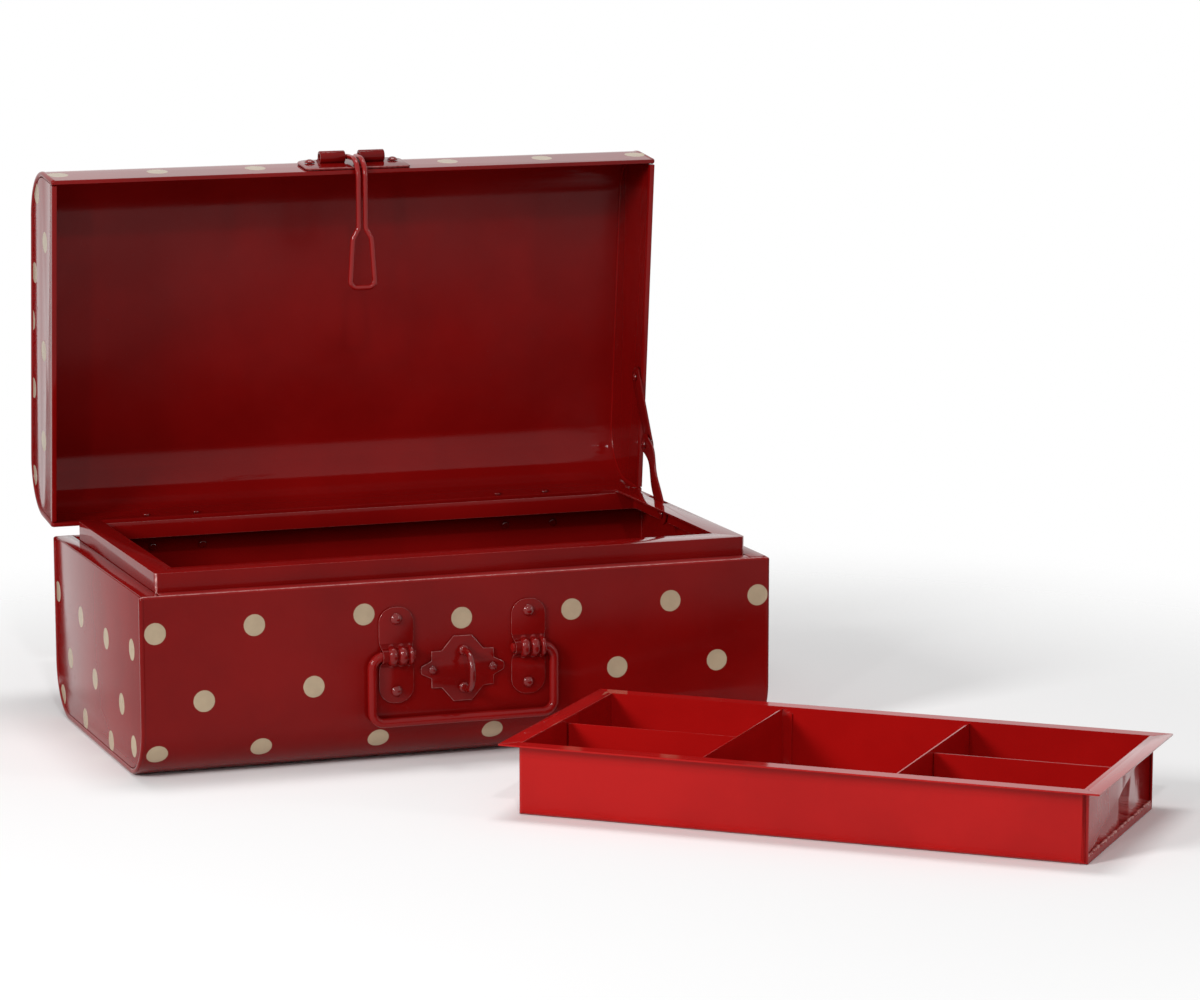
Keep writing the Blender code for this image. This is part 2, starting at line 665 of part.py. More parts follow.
def saddle_section(axis_y, thicker=0.0):
    """The bracket's side section in (y, z): flat tabs against the wall and a half-round
    saddle over the handle's wire."""
    inside = HANDLE_WIRE_RADIUS + GAP
    outside = inside + BRACKET_SHEET + thicker
    back = -WALL_FACE - GAP
    front = back - BRACKET_SHEET
    tall = BRACKET_HEIGHT / 2 + OVERRUN
    out_angle = math.degrees(math.acos((front - axis_y) / outside))
    in_angle = math.degrees(math.acos((back - axis_y) / inside))
    outer = arc_points((axis_y, 0), outside, out_angle, 360 - out_angle, 12)
    inner = arc_points((axis_y, 0), inside, 360 - in_angle, in_angle, 15)
    points = [(front, tall)] + outer + [(front, -tall), (back, -tall)] + inner + [(back, tall)]
    return [(y, HANDLE_AXIS_HEIGHT + z) for y, z in points]


def make_handle(enamel, handle):
    """Two one-piece saddle brackets on the front wall and the bail that swings in them."""
    axis_y = handle_axis_y()
    for side, word in ((-1, "left"), (1, "right")):
        cx = side * BRACKET_SPACING / 2
        half = BRACKET_WIDTH / 2 + OVERRUN
        name = "handle_bracket_" + word
        bracket = add_object(name, prism_mesh(name, saddle_section(axis_y), cx - half, cx + half, "X"), enamel)
        face = prism_mesh("face", bracket_outline(BRACKET_WIDTH, BRACKET_HEIGHT, (cx, HANDLE_AXIS_HEIGHT)),
                          axis_y - 3 * HANDLE_WIRE_RADIUS, -WALL_FACE + OVERRUN, "Y")
        combine(bracket, face, "INTERSECT")
        for place in (-1, 1):
            low = cx + place * BRACKET_RIB_SPACING / 2 - BRACKET_RIB_WIDTH / 2
            rib = rib_mesh(axis_y, low, low + BRACKET_RIB_WIDTH)
            combine(bracket, rib, "UNION")
        places = [p for p in front_rivet_places()[:4] if (p[0] > 0) == (side > 0)]
        combine(bracket, rivet_holes("holes", places, (0, 1, 0)), "DIFFERENCE")
        for end, place in zip(("lower", "upper"), places):
            add_rivet(f"rivet_bracket_{word}_{end}", place, (0, -1, 0), GAP + BRACKET_SHEET, enamel)
    half = HANDLE_WIDTH / 2
    tip = BRACKET_SPACING / 2 - BRACKET_WIDTH / 2 - HANDLE_NUB + BRACKET_WAIST
    corners = [(-tip, 0, 0), (-half, 0, 0), (-half, 0, -HANDLE_DROP), (half, 0, -HANDLE_DROP), (half, 0, 0), (tip, 0, 0)]
    radii = [HANDLE_SHOULDER_RADIUS, HANDLE_CORNER_RADIUS, HANDLE_CORNER_RADIUS, HANDLE_SHOULDER_RADIUS]
    add_wire("handle_bail", fillet_path(corners, radii, 12), HANDLE_WIRE_RADIUS, enamel, handle)


def rib_mesh(axis_y, low, high):
    """A half-round rib over the saddle, tapering to its edges."""
    inside = HANDLE_WIRE_RADIUS + GAP + BRACKET_SHEET / 2
    rise = inside + BRACKET_SHEET / 2 + BRACKET_RIB_HEIGHT
    start = math.degrees(math.acos((-WALL_FACE - GAP - BRACKET_SHEET / 2 - axis_y) / rise))
    points = arc_points((axis_y, HANDLE_AXIS_HEIGHT), rise, start, 360 - start, 15)
    points += arc_points((axis_y, HANDLE_AXIS_HEIGHT), inside, 360 - start - 10, start + 10, 15)
    return prism_mesh("rib", points, low, high, "X")


def handle_axis_y():
    return -WALL_FACE - GAP - HANDLE_WIRE_RADIUS


def staple_plate_outline():
    """The shaped plate in (x, z): a small oblong with a flat-topped lobe above and
    below and a blunt ear at each side."""
    w, h = STAPLE_PLATE_HALF_WIDTH, STAPLE_PLATE_HALF_HEIGHT
    quarter_shares = ((0.22, 1.0), (0.50, 0.57), (0.745, 0.56), (0.75, 0.27), (0.985, 0.12), (1.0, 0.04))
    top_right = [(x * w, z * h) for x, z in quarter_shares]
    bottom_right = [(x, -z) for x, z in reversed(top_right)]
    right = top_right + bottom_right
    left = [(-x, z) for x, z in reversed(right)]
    return [(x, STAPLE_PLATE_HEIGHT + z) for x, z in right + left]


def make_staple(enamel):
    """The shaped plate and the round wire staple that stands out of it."""
    back = -WALL_FACE - GAP
    front = back - STAPLE_PLATE_SHEET
    plate = add_object("staple_plate", prism_mesh("staple_plate", staple_plate_outline(), front, back, "Y"), enamel)
    half = STAPLE_SPAN / 2
    legs = [(0, front, STAPLE_PLATE_HEIGHT + end * half) for end in (-1, 1)]
    holes = rivet_holes("leg_holes", legs, (0, 1, 0), STAPLE_WIRE_RADIUS + GAP)
    combine(plate, holes, "DIFFERENCE")
    places = front_rivet_places()[4:]
    combine(plate, rivet_holes("holes", places, (0, 1, 0)), "DIFFERENCE")
    for word, place in zip(("left", "right"), places):
        add_rivet("rivet_staple_plate_" + word, place, (0, -1, 0), GAP + STAPLE_PLATE_SHEET, enamel,
                  head=(SMALL_RIVET_HEAD_RADIUS, SMALL_RIVET_HEAD_HEIGHT))
    crown = front - STAPLE_REACH
    top, low = STAPLE_PLATE_HEIGHT + half, STAPLE_PLATE_HEIGHT - half
    corners = [(0, back, top), (0, crown, top), (0, crown, low), (0, back, low)]
    radii = [STAPLE_BEND_RADIUS, STAPLE_BEND_RADIUS]
    add_wire("staple", fillet_path(corners, radii), STAPLE_WIRE_RADIUS, enamel)


def hasp_axis():
    """The wire's pivot in the closed lid: (y, z)."""
    plate_front = -WALL_FACE - GAP - HASP_PLATE_SHEET
    return (plate_front - HASP_BARREL_RADIUS + HASP_PLATE_SHEET / 2, LID_RIM + HASP_AXIS_LIFT)


def hasp_plate_outline():
    """The plate in (x, z), with round ends that draw in towards the rim."""
    half, low = HASP_PLATE_LENGTH / 2, LID_RIM + HASP_PLATE_LIFT
    high = low + HASP_PLATE_HEIGHT
    radius, rim_radius = HASP_PLATE_END_RADIUS, HASP_PLATE_RIM_RADIUS
    right = arc_points((half - rim_radius, low + rim_radius), rim_radius, -90, 0, 22.5)
    right += arc_points((half - radius, high - radius), radius, 0, 90, 22.5)
    left = [(-x, z) for x, z in reversed(right)]
    return right + left


def make_hasp(enamel, lid, hasp):
    """The hasp plate with its two rolled barrels, and the wire loop that turns in them."""
    back = -WALL_FACE - GAP
    front = back - HASP_PLATE_SHEET
    axis_y, axis_z = hasp_axis()
    plate = add_object("hasp_plate", prism_mesh("hasp_plate", hasp_plate_outline(), front, back, "Y"), enamel,
                       lid, lid_offset())
    inner, outer = HASP_BARREL_SPACING / 2, HASP_BARREL_SPACING / 2 + HASP_BARREL_LENGTH
    for side in (-1, 1):
        low, high = sorted((side * inner, side * outer))
        barrel = rod_mesh("barrel", (low, axis_y, axis_z), (high, axis_y, axis_z), HASP_BARREL_RADIUS, 16)
        combine(plate, barrel, "UNION")
        combine(plate, tongue_wedge(low + GAP, high - GAP, axis_y, axis_z, front), "UNION")
    bore = rod_mesh("bore", (-outer - OVERRUN, axis_y, axis_z), (outer + OVERRUN, axis_y, axis_z), HASP_BARREL_BORE, 12)
    combine(plate, bore, "DIFFERENCE")
    combine(plate, rivet_holes("holes", hasp_rivet_places(), (0, 1, 0)), "DIFFERENCE")
    for word, place in zip(("left", "right"), hasp_rivet_places()):
        add_rivet("rivet_hasp_" + word, place, (0, -1, 0), GAP + HASP_PLATE_SHEET, enamel, lid, lid_offset())

    reach, drop = -HASP_BAIL_REACH, -HASP_BAIL_DROP
    run, loop = HASP_WIRE_SPACING / 2, HASP_LOOP_WIDTH / 2 - HASP_WIRE_RADIUS
    spread = HASP_FOOT_WIDTH / 2 - HASP_WIRE_RADIUS
    flare_top = drop + HASP_LOOP_LENGTH
    flare_low = flare_top - HASP_FLARE_LENGTH
    tip = outer - HASP_END_ROOM
    half = [(tip, 0, 0), (run, 0, 0), (run, reach, 0), (run, reach, flare_top), (loop, reach, flare_low)]
    foot = [(spread, reach, drop), (-spread, reach, drop)]
    corners = half + foot + [(-x, y, z) for x, y, z in reversed(half)]
    sides = [HASP_WIRE_SPACING * 0.45, HASP_BEND_RADIUS, loop, loop]
    radii = sides + [HASP_FOOT_RADIUS, HASP_FOOT_RADIUS] + sides[::-1]
    add_wire("hasp_wire", fillet_path(corners, radii), HASP_WIRE_RADIUS, enamel, hasp, resolution=2)


def tongue_wedge(low, high, axis_y, axis_z, front):
    """The strip that runs from the plate up over the barrel."""
    buried = front + HASP_PLATE_SHEET / 2
    height = HASP_BARREL_RADIUS * 0.8
    outline = [(buried, axis_z + HASP_TONGUE), (axis_y, axis_z + height), (axis_y, axis_z - height / 2),
               (buried, axis_z - height / 2)]
    return prism_mesh("tongue", outline, low, high, "X")


def link_outline(start, end, width, end_radius, bow):
    """A curved flat arm in (y, z) with round ends, relative to its start."""
    run = Vector((end[0] - start[0], end[1] - start[1]))
    length = run.length
    along = run.normalized()
    across = Vector((-along.y, along.x))
    left, right = [], []
    steps = 8
    for i in range(1, steps):
        share = i / steps
        middle = along * (length * share) + across * (bow * math.sin(math.pi * share))
        left.append(middle + across * width / 2)
        right.append(middle - across * width / 2)
    heading = math.degrees(math.atan2(along.y, along.x))
    tail = arc_points((0, 0), end_radius, heading + 110, heading + 250, 20)
    tip_centre = (run.x, run.y)
    tip = arc_points(tip_centre, end_radius, heading - 70, heading + 70, 20)
    return tail + [tuple(p) for p in right] + tip + [tuple(p) for p in reversed(left)]


def stay_planes():
    """X of the inner face of the lower link's foot, of its raised part, and of the
    upper link."""
    foot = COLLAR_HALF_LENGTH - SHEET - STAY_WALL_GAP - STAY_SHEET
    upper = END_PLATE_INNER - RIM_BEAD_INWARD - GAP - STAY_SHEET
    raised = upper - STAY_LINK_SPACING - STAY_SHEET
    return foot, raised, upper


def stay_slot():
    """Cutter for the slot in the right flange that the lower link swings in."""
    foot, _, _ = stay_planes()
    rise = COLLAR_TOP - STAY_FOOT[1]
    heading = math.atan2(STAY_ELBOW[1] - STAY_FOOT[1], STAY_ELBOW[0] - STAY_FOOT[0])
    closed = heading + STAY_SWING_SHARE * OPEN_ANGLE
    back = STAY_FOOT[0] + rise / math.tan(heading) + STAY_WIDTH / 2 / math.sin(heading)
    front = STAY_FOOT[0] + (rise - SHEET) / math.tan(closed) - STAY_WIDTH / 2 / math.sin(closed)
    low = (foot - (STAY_SLOT_WIDTH - STAY_SHEET) / 2, front - STAY_BOW - STAY_SLOT_ROOM, COLLAR_TOP - 2 * SHEET)
    high = (COLLAR_HALF_LENGTH - SHEET / 2, back + STAY_SLOT_ROOM, COLLAR_TOP + OVERRUN)
    return box_mesh("stay_slot", low, high)


def make_stay(enamel, lid, lower, upper):
    """Two flat links between the collar and the lid's right end. The lower one is bent
    outwards above the collar and carries the rivet at the elbow."""
    foot_x, raised_x, upper_x = stay_planes()
    outline = link_outline(STAY_FOOT, STAY_ELBOW, STAY_WIDTH, STAY_END_RADIUS, STAY_BOW)
    link = joggled_mesh("stay_lower_link", outline, foot_x, raised_x)
    lower_link = add_object("stay_lower_link", link, enamel, lower)
    elbow = (STAY_ELBOW[0] - STAY_FOOT[0], STAY_ELBOW[1] - STAY_FOOT[1])
    combine(lower_link, rivet_holes("holes", [(foot_x, 0, 0), (raised_x, *elbow)], (1, 0, 0)), "DIFFERENCE")

    pivot = opened(*STAY_LID_PIVOT)
    outline = link_outline(pivot, STAY_ELBOW, STAY_WIDTH, STAY_END_RADIUS, 0)
    link = prism_mesh("stay_upper_link", outline, upper_x, upper_x + STAY_SHEET, "X")
    upper_link = add_object("stay_upper_link", link, enamel, upper)
    combine(upper_link, rivet_holes("hole", [(upper_x, 0, 0)], (1, 0, 0)), "DIFFERENCE")

    small = (SMALL_RIVET_HEAD_RADIUS, SMALL_RIVET_HEAD_HEIGHT)
    inner_face = COLLAR_HALF_LENGTH - SHEET
    add_rivet("rivet_stay_foot", (inner_face, *STAY_FOOT), (-1, 0, 0), inner_face - foot_x, enamel, head=small)
    place = (END_PLATE_INNER, *STAY_LID_PIVOT)
    add_rivet("rivet_stay_lid", place, (-1, 0, 0), END_PLATE_INNER - upper_x, enamel, lid, lid_offset(), small,
              END_RECESS / 2)
    profile = [(0, -GAP - small[1]), (small[0] / 2, -GAP - small[1]), (small[0], -GAP - small[1] / 3), (small[0], -GAP),
               (RIVET_SHANK_RADIUS, -GAP), (RIVET_SHANK_RADIUS, STAY_SHEET + GAP),
               (RIVET_TAIL_RADIUS, STAY_SHEET + GAP), (RIVET_TAIL_RADIUS, STAY_SHEET + STAY_LINK_SPACING - GAP),
               (0, STAY_SHEET + STAY_LINK_SPACING - GAP)]
    add_object("rivet_stay_elbow", turned_mesh("elbow", profile, (raised_x, *elbow), (1, 0, 0)), enamel, lower)


def joggled_mesh(name, outline, foot_x, raised_x):
    """A flat link whose far part is offset sideways through a smooth double bend."""
    far = max(math.hypot(y, z) for y, z in outline)
    start, end = STAY_JOGGLE_START_SHARE * far, STAY_JOGGLE_END_SHARE * far
    cuts = [start + (end - start) * i / 6 for i in range(7)]
    build = bmesh.new()
    face = build.faces.new([build.verts.new((0, y, z)) for y, z in outline])
    heading = Vector((0, STAY_ELBOW[0] - STAY_FOOT[0], STAY_ELBOW[1] - STAY_FOOT[1])).normalized()
    for cut in cuts:
        pieces = list(build.verts) + list(build.edges) + list(build.faces)
        bmesh.ops.bisect_plane(build, geom=pieces, plane_co=heading * cut, plane_no=heading)
    faces = list(build.faces)
    solid = bmesh.ops.extrude_face_region(build, geom=faces)
    lifted = [item for item in solid["geom"] if isinstance(item, bmesh.types.BMVert)]
    bmesh.ops.translate(build, verts=lifted, vec=(STAY_SHEET, 0, 0))
    for vert in build.verts:
        share = (vert.co.dot(heading) - start) / (end - start)
        share = min(1.0, max(0.0, share))
        smooth = share * share * (3 - 2 * share)
        vert.co.x += foot_x + (raised_x - foot_x) * smooth
    bmesh.ops.recalc_face_normals(build, faces=build.faces)
    mesh = bpy.data.meshes.new(name)
    build.to_mesh(mesh)
    build.free()
    return mesh


def tray_section():
    """The tray's wrapper in (v, z): two walls and a floor, with flanges turned out."""
    w, t, h, f, r = TRAY_DEPTH, TRAY_SHEET, TRAY_HEIGHT, TRAY_FLANGE, TRAY_CORNER_RADIUS
    points = [(-f, h), (t, h)]
    points += arc_points((r, r), r - t, 180, 270, 30)
    points += arc_points((w - r, r), r - t, 270, 360, 30)
    points += [(w - t, h), (w + f, h), (w + f, h - t), (w, h - t)]
    points += arc_points((w - r, r), r, 0, -90, 30)
    points += arc_points((r, r), r, 270, 180, 30)
    points += [(0, h - t), (-f, h - t)]
    return points


def tray_end_mesh(side):
    """Flange of one tray end in plan: it fills the flange corners and tucks between the
    walls."""
    w, f, t = TRAY_DEPTH, TRAY_FLANGE, TRAY_SHEET
    inner = TRAY_END_INSET + t
    tuck_low, tuck_high = t + GAP, w - t - GAP
    points = [(-f, -f), (-GAP, -f), (-GAP, tuck_low), (inner, tuck_low), (inner, tuck_high),
              (-GAP, tuck_high), (-GAP, w + f), (-f, w + f)]
    if side > 0:
        points = [(TRAY_LENGTH - u, v) for u, v in points]
    return prism_mesh("tray_flange", points, TRAY_HEIGHT - t, TRAY_HEIGHT, "Z")


def divider_outline(length, thickness, tab, side):
    """A divider in plan with a folded tab at each end."""
    points = [(0, 0), (tab, 0), (tab, thickness), (thickness, thickness), (thickness, length - thickness),
              (tab, length - thickness), (tab, length), (0, length)]
    return [(side * u, v) for u, v in points]


def make_tray(enamel, tray):
    """The loose tray: a wrapper, two ends and four dividers that make five bays."""
    t, h = TRAY_SHEET, TRAY_HEIGHT
    pan = prism_mesh("tray_pan", tray_section(), 0, TRAY_LENGTH, "X")
    add_object("tray_pan", pan, enamel, tray)
    floor = t + GAP
    inside = TRAY_DEPTH - 2 * (t + GAP)
    middle = TRAY_LENGTH / 2
    for side, word in ((-1, "left"), (1, "right")):
        end = add_object("tray_end_" + word, tray_end_mesh(side), enamel, tray)
        near, far = TRAY_END_INSET + t / 8, TRAY_END_INSET + t * 7 / 8
        if side > 0:
            near, far = TRAY_LENGTH - far, TRAY_LENGTH - near
        r = TRAY_CORNER_RADIUS
        wall = [(t + GAP, h - t / 2)] + arc_points((r + GAP, r + GAP), r - t, 180, 270, 30)
        wall += arc_points((TRAY_DEPTH - r - GAP, r + GAP), r - t, 270, 360, 30)
        wall += [(TRAY_DEPTH - t - GAP, h - t / 2)]
        wall = [(v + (t / 8 if v < TRAY_DEPTH / 2 else -t / 8), z) for v, z in wall]
        combine(end, prism_mesh("wall", wall, near, far, "X"), "UNION")

        place = middle + side * DIVIDER_SPACING / 2
        outline = divider_outline(inside, t, DIVIDER_TAB, -side)
        outline = [(place + u, floor + v) for u, v in outline]
        cross = prism_mesh("cross", outline, floor + r - t, h - DIVIDER_DROP, "Z")
        add_object("tray_cross_divider_" + word, cross, enamel, tray)

        end_face = TRAY_END_INSET + t + GAP
        start, stop = end_face, middle - DIVIDER_SPACING / 2 - GAP
        if side > 0:
            start, stop = middle + DIVIDER_SPACING / 2 + GAP, TRAY_LENGTH - end_face
        outline = divider_outline(stop - start, t, DIVIDER_TAB, 1)
        line = TRAY_DEPTH * LONG_DIVIDER_SHARE
        outline = [(start + v, line + u) for u, v in outline]
        long_wall = prism_mesh("long", outline, floor, h - LONG_DIVIDER_DROP, "Z")
        add_object("tray_long_divider_" + word, long_wall, enamel, tray)


def build():
    clear_scene()
    enamel = make_material("enamel", ENAMEL, 0.16)
    lid = add_empty("lid_pivot", (0, HINGE_Y, HINGE_Z), (-OPEN_ANGLE, 0, 0))
    handle = add_empty("handle_pivot", (0, handle_axis_y(), HANDLE_AXIS_HEIGHT))
    axis_y, axis_z = hasp_axis()
    hasp = add_empty("hasp_pivot", (0, axis_y - HINGE_Y, axis_z - HINGE_Z), (OPEN_ANGLE, 0, 0), lid)
    lower = add_empty("stay_lower_pivot", (0, *STAY_FOOT))
    upper_place = (0, STAY_LID_PIVOT[0] - HINGE_Y, STAY_LID_PIVOT[1] - HINGE_Z)
    upper = add_empty("stay_upper_pivot", upper_place, (OPEN_ANGLE, 0, 0), lid)
    tray = add_empty("tray_place", (*TRAY_PLACE, 0), (0, 0, TRAY_TURN))

    make_shells(enamel, lid)
    make_ends(enamel, lid)
    make_collar(enamel)
    make_hinges(enamel, lid)
    make_handle(enamel, handle)
    make_staple(enamel)
    make_hasp(enamel, lid, hasp)
    make_stay(enamel, lid, lower, upper)
    make_tray(enamel, tray)


build()
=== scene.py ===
"""Looks of the small enamelled storage suitcase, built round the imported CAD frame.

Every piece is made in metres in the frame's own axes. Lid pieces are made closed and
then turned open, as the CAD does it.
"""

from functools import reduce
from math import acos, asin, atan2, cos, degrees, hypot, pi, radians, sin, sqrt, tan

import bmesh
import bpy
from mathutils import Matrix, Vector


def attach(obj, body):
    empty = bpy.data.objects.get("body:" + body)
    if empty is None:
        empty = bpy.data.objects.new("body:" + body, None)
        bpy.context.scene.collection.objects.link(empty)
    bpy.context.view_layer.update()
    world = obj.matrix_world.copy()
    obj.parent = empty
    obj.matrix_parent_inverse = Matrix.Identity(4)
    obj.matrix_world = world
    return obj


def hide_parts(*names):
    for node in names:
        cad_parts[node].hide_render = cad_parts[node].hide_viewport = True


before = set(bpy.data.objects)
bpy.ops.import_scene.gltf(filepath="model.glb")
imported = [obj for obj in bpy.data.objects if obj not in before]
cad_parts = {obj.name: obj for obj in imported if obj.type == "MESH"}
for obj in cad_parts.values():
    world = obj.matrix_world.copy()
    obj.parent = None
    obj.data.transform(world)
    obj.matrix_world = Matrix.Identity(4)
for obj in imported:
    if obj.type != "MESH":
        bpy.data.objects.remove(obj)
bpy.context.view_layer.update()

# Shared sizes, as in the CAD
GAP = 0.0003
OVERRUN = 0.004
SHEET = 0.0008
HALF_LENGTH = 0.15
HALF_DEPTH = 0.084
CORNER_RADIUS = 0.025
BASE_HEIGHT = 0.085
LID_RIM = 0.0854
LID_TOP = 0.1299
FOLD_RADIUS = 0.0016
RING_WIDTH = 0.0024
RING_DEPTH = 0.0026
RING_PROUD = 0.00025
END_RECESS = 0.0014
COLLAR_HALF_LENGTH = 0.1407
COLLAR_FRONT = -0.076
COLLAR_BACK = 0.07
COLLAR_TOP = 0.0936
COLLAR_SKIRT = 0.0012
COLLAR_CORNER_RADIUS = 0.0022
COLLAR_END_FLANGE = 0.011
COLLAR_FRONT_FLANGE = 0.013
COLLAR_BACK_FLANGE = 0.0022
COLLAR_BACK_DROP = 0.0017
LEDGE_LIP = 0.0003
RIM_HEM = 0.0018
RIM_HEM_HEIGHT = 0.0028
RIM_BEAD_INWARD = 0.0003
OPEN_ANGLE = radians(84.0)
HINGE_Y = 0.0869
HINGE_Z = 0.0855
WALL_FACE = HALF_DEPTH - RING_PROUD
FRONT_SEAT = -WALL_FACE - GAP
END_PLATE_OUTER = HALF_LENGTH - END_RECESS
END_PLATE_INNER = END_PLATE_OUTER - SHEET
RIVET_HEAD = (0.0026, 0.0015)
SMALL_HEAD = (0.002, 0.0012)
RIVET_SHANK = 0.0012
RIVET_TAIL = (0.0019, 0.0007)
HANDLE_Z = 0.0511
HANDLE_WIRE_RADIUS = 0.00215
HANDLE_Y = FRONT_SEAT - HANDLE_WIRE_RADIUS
BRACKET_SPACING = 0.063
BRACKET_RIVET_SPACING = 0.0332
BRACKET_SHEET = 0.0009
BRACKET_FRONT = FRONT_SEAT - BRACKET_SHEET
STAPLE_PLATE_Z = 0.043
STAPLE_PLATE_SHEET = 0.0009
STAPLE_PLATE_RIVET_SPACING = 0.0288
STAPLE_WIRE_RADIUS = 0.0015
HASP_SHEET = 0.0009
HASP_BARREL_RADIUS = 0.003
HASP_AXIS_Y = FRONT_SEAT - HASP_SHEET - HASP_BARREL_RADIUS + HASP_SHEET / 2
HASP_AXIS_Z = LID_RIM + 0.0148
HASP_RIVET_SPACING = 0.0414
HASP_WIRE_RADIUS = 0.00125
HINGE_SPACING = 0.1782
HINGE_LENGTH = 0.038
HINGE_RIVET_SPACING = 0.0246
HINGE_RIVET_DROP = 0.0085
STAY_SHEET = 0.001
STAY_FOOT = (0.0285, 0.0874)
STAY_ELBOW = (0.068, 0.1155)
STAY_LID_PIVOT = (0.0262, 0.0912)
TRAY_LENGTH = 0.253
TRAY_DEPTH = 0.111
TRAY_HEIGHT = 0.032
TRAY_FLANGE = 0.0065
TRAY_SHEET = 0.0007
TRAY_RADIUS = 0.002
TRAY_END_INSET = 0.0012
DIVIDER_SPACING = 0.087

# Sizes of the looks alone: the arcs' step in degrees, a hair that keeps two faces apart,
# and where the end plates' and the wrapper sheets' ends lie inside the rings
FINE = 2.5
HAIR = 0.0001
END_OUTER = HALF_LENGTH - 0.0006
SHEET_END = HALF_LENGTH - 0.001

# Where pieces that move are made, and where they stand at rest
moved = Matrix.Translation
HINGE = moved((0, HINGE_Y, HINGE_Z))
OPENED = HINGE @ Matrix.Rotation(-OPEN_ANGLE, 4, "X") @ HINGE.inverted()
CLOSED = OPENED.inverted()
TRAY_PLACE = moved((-0.0106, -0.1935, 0)) @ Matrix.Rotation(radians(-40.6), 4, "Z")
REST = Matrix.Identity(4)
SIDES = ((-1, "left"), (1, "right"))
ADD = "UNION"
CUT = "DIFFERENCE"


def opened(y, z):
    point = OPENED @ Vector((0, y, z))
    return point.y, point.z


# Node helpers
def add_node(tree, kind, settings=None, **inputs):
    """Adds a node. Inputs are sockets or values, by name or as i0, i1 and so on."""
    node = tree.nodes.new(kind)
    for key, value in (settings or {}).items():
        setattr(node, key, value)
    for key, value in inputs.items():
        socket = node.inputs[int(key[1:]) if key[0] == "i" else key]
        if isinstance(value, bpy.types.NodeSocket):
            tree.links.new(value, socket)
        else:
            socket.default_value = value
    return node


def math_node(tree, operation, first, second):
    return add_node(tree, "ShaderNodeMath", {"operation": operation}, i0=first, i1=second).outputs[0]


def add_share(tree, total, value, share):
    return math_node(tree, "ADD", total, math_node(tree, "MULTIPLY", value, share))


def vector_node(tree, operation, first, second=(0, 0, 0)):
    node = add_node(tree, "ShaderNodeVectorMath", {"operation": operation}, i0=first, i1=second)
    return node.outputs["Value" if operation in ("LENGTH", "DISTANCE") else "Vector"]


def noise(tree, place, scale, detail=3.0, roughness=0.5):
    node = add_node(tree, "ShaderNodeTexNoise", Vector=place, Scale=scale, Detail=detail, Roughness=roughness)
    return node.outputs["Fac"]


def spread(tree, value, low, high, to_low, to_high, kind="SMOOTHSTEP"):
    node = add_node(tree, "ShaderNodeMapRange", {"interpolation_type": kind},
                    i0=value, i1=low, i2=high, i3=to_low, i4=to_high)
    return node.outputs[0]


def mix_colour(tree, factor, first, second):
    return add_node(tree, "ShaderNodeMix", {"data_type": "RGBA"}, i0=factor, i6=first, i7=second).outputs[2]


# The finished materials by name
LOOKS = {}

# Dots of the print, and the heights of the enamel's reliefs
DOT_RADIUS = 0.005
DOT_COLOUR = (0.455, 0.355, 0.24)
# A pale pink that is painted highlight along rounded edges
EDGE_HIGHLIGHT_PAINT = (0.62, 0.29, 0.27, 1)
LATTICE = (0.048, 0.055)
PEEL_HEIGHT = 0.000004
WAVE_HEIGHT = 0.0003
NIB_HEIGHT = 0.00002
PRINT_HEIGHT = 0.00004
DOT_RAGGED = 0.00022


def nearest_of(tree, distances):
    return reduce(lambda one, other: math_node(tree, "MINIMUM", one, other), distances)


def listed_dots(tree, place, centres):
    """Distance to the nearest of some dot centres."""
    return nearest_of(tree, [vector_node(tree, "DISTANCE", place, (*centre, 0)) for centre in centres])


def lattice_dots(tree, place, offset):
    """Distance to the nearest dot of a staggered lattice."""
    distances = []
    for share in (0, 0.5):
        shift = [o / pitch + share + 0.5 for o, pitch in zip(offset, LATTICE)]
        cell = vector_node(tree, "ADD", vector_node(tree, "DIVIDE", place, (*LATTICE, 1)), (*shift, 0))
        inside = vector_node(tree, "SUBTRACT", vector_node(tree, "FRACTION", cell), (0.5, 0.5, 0))
        distances.append(vector_node(tree, "LENGTH", vector_node(tree, "MULTIPLY", inside, (*LATTICE, 0))))
    return nearest_of(tree, distances)


def new_material(name):
    material = bpy.data.materials.new(name)
    material.use_nodes = True
    return material, material.node_tree, material.node_tree.nodes["Principled BSDF"]


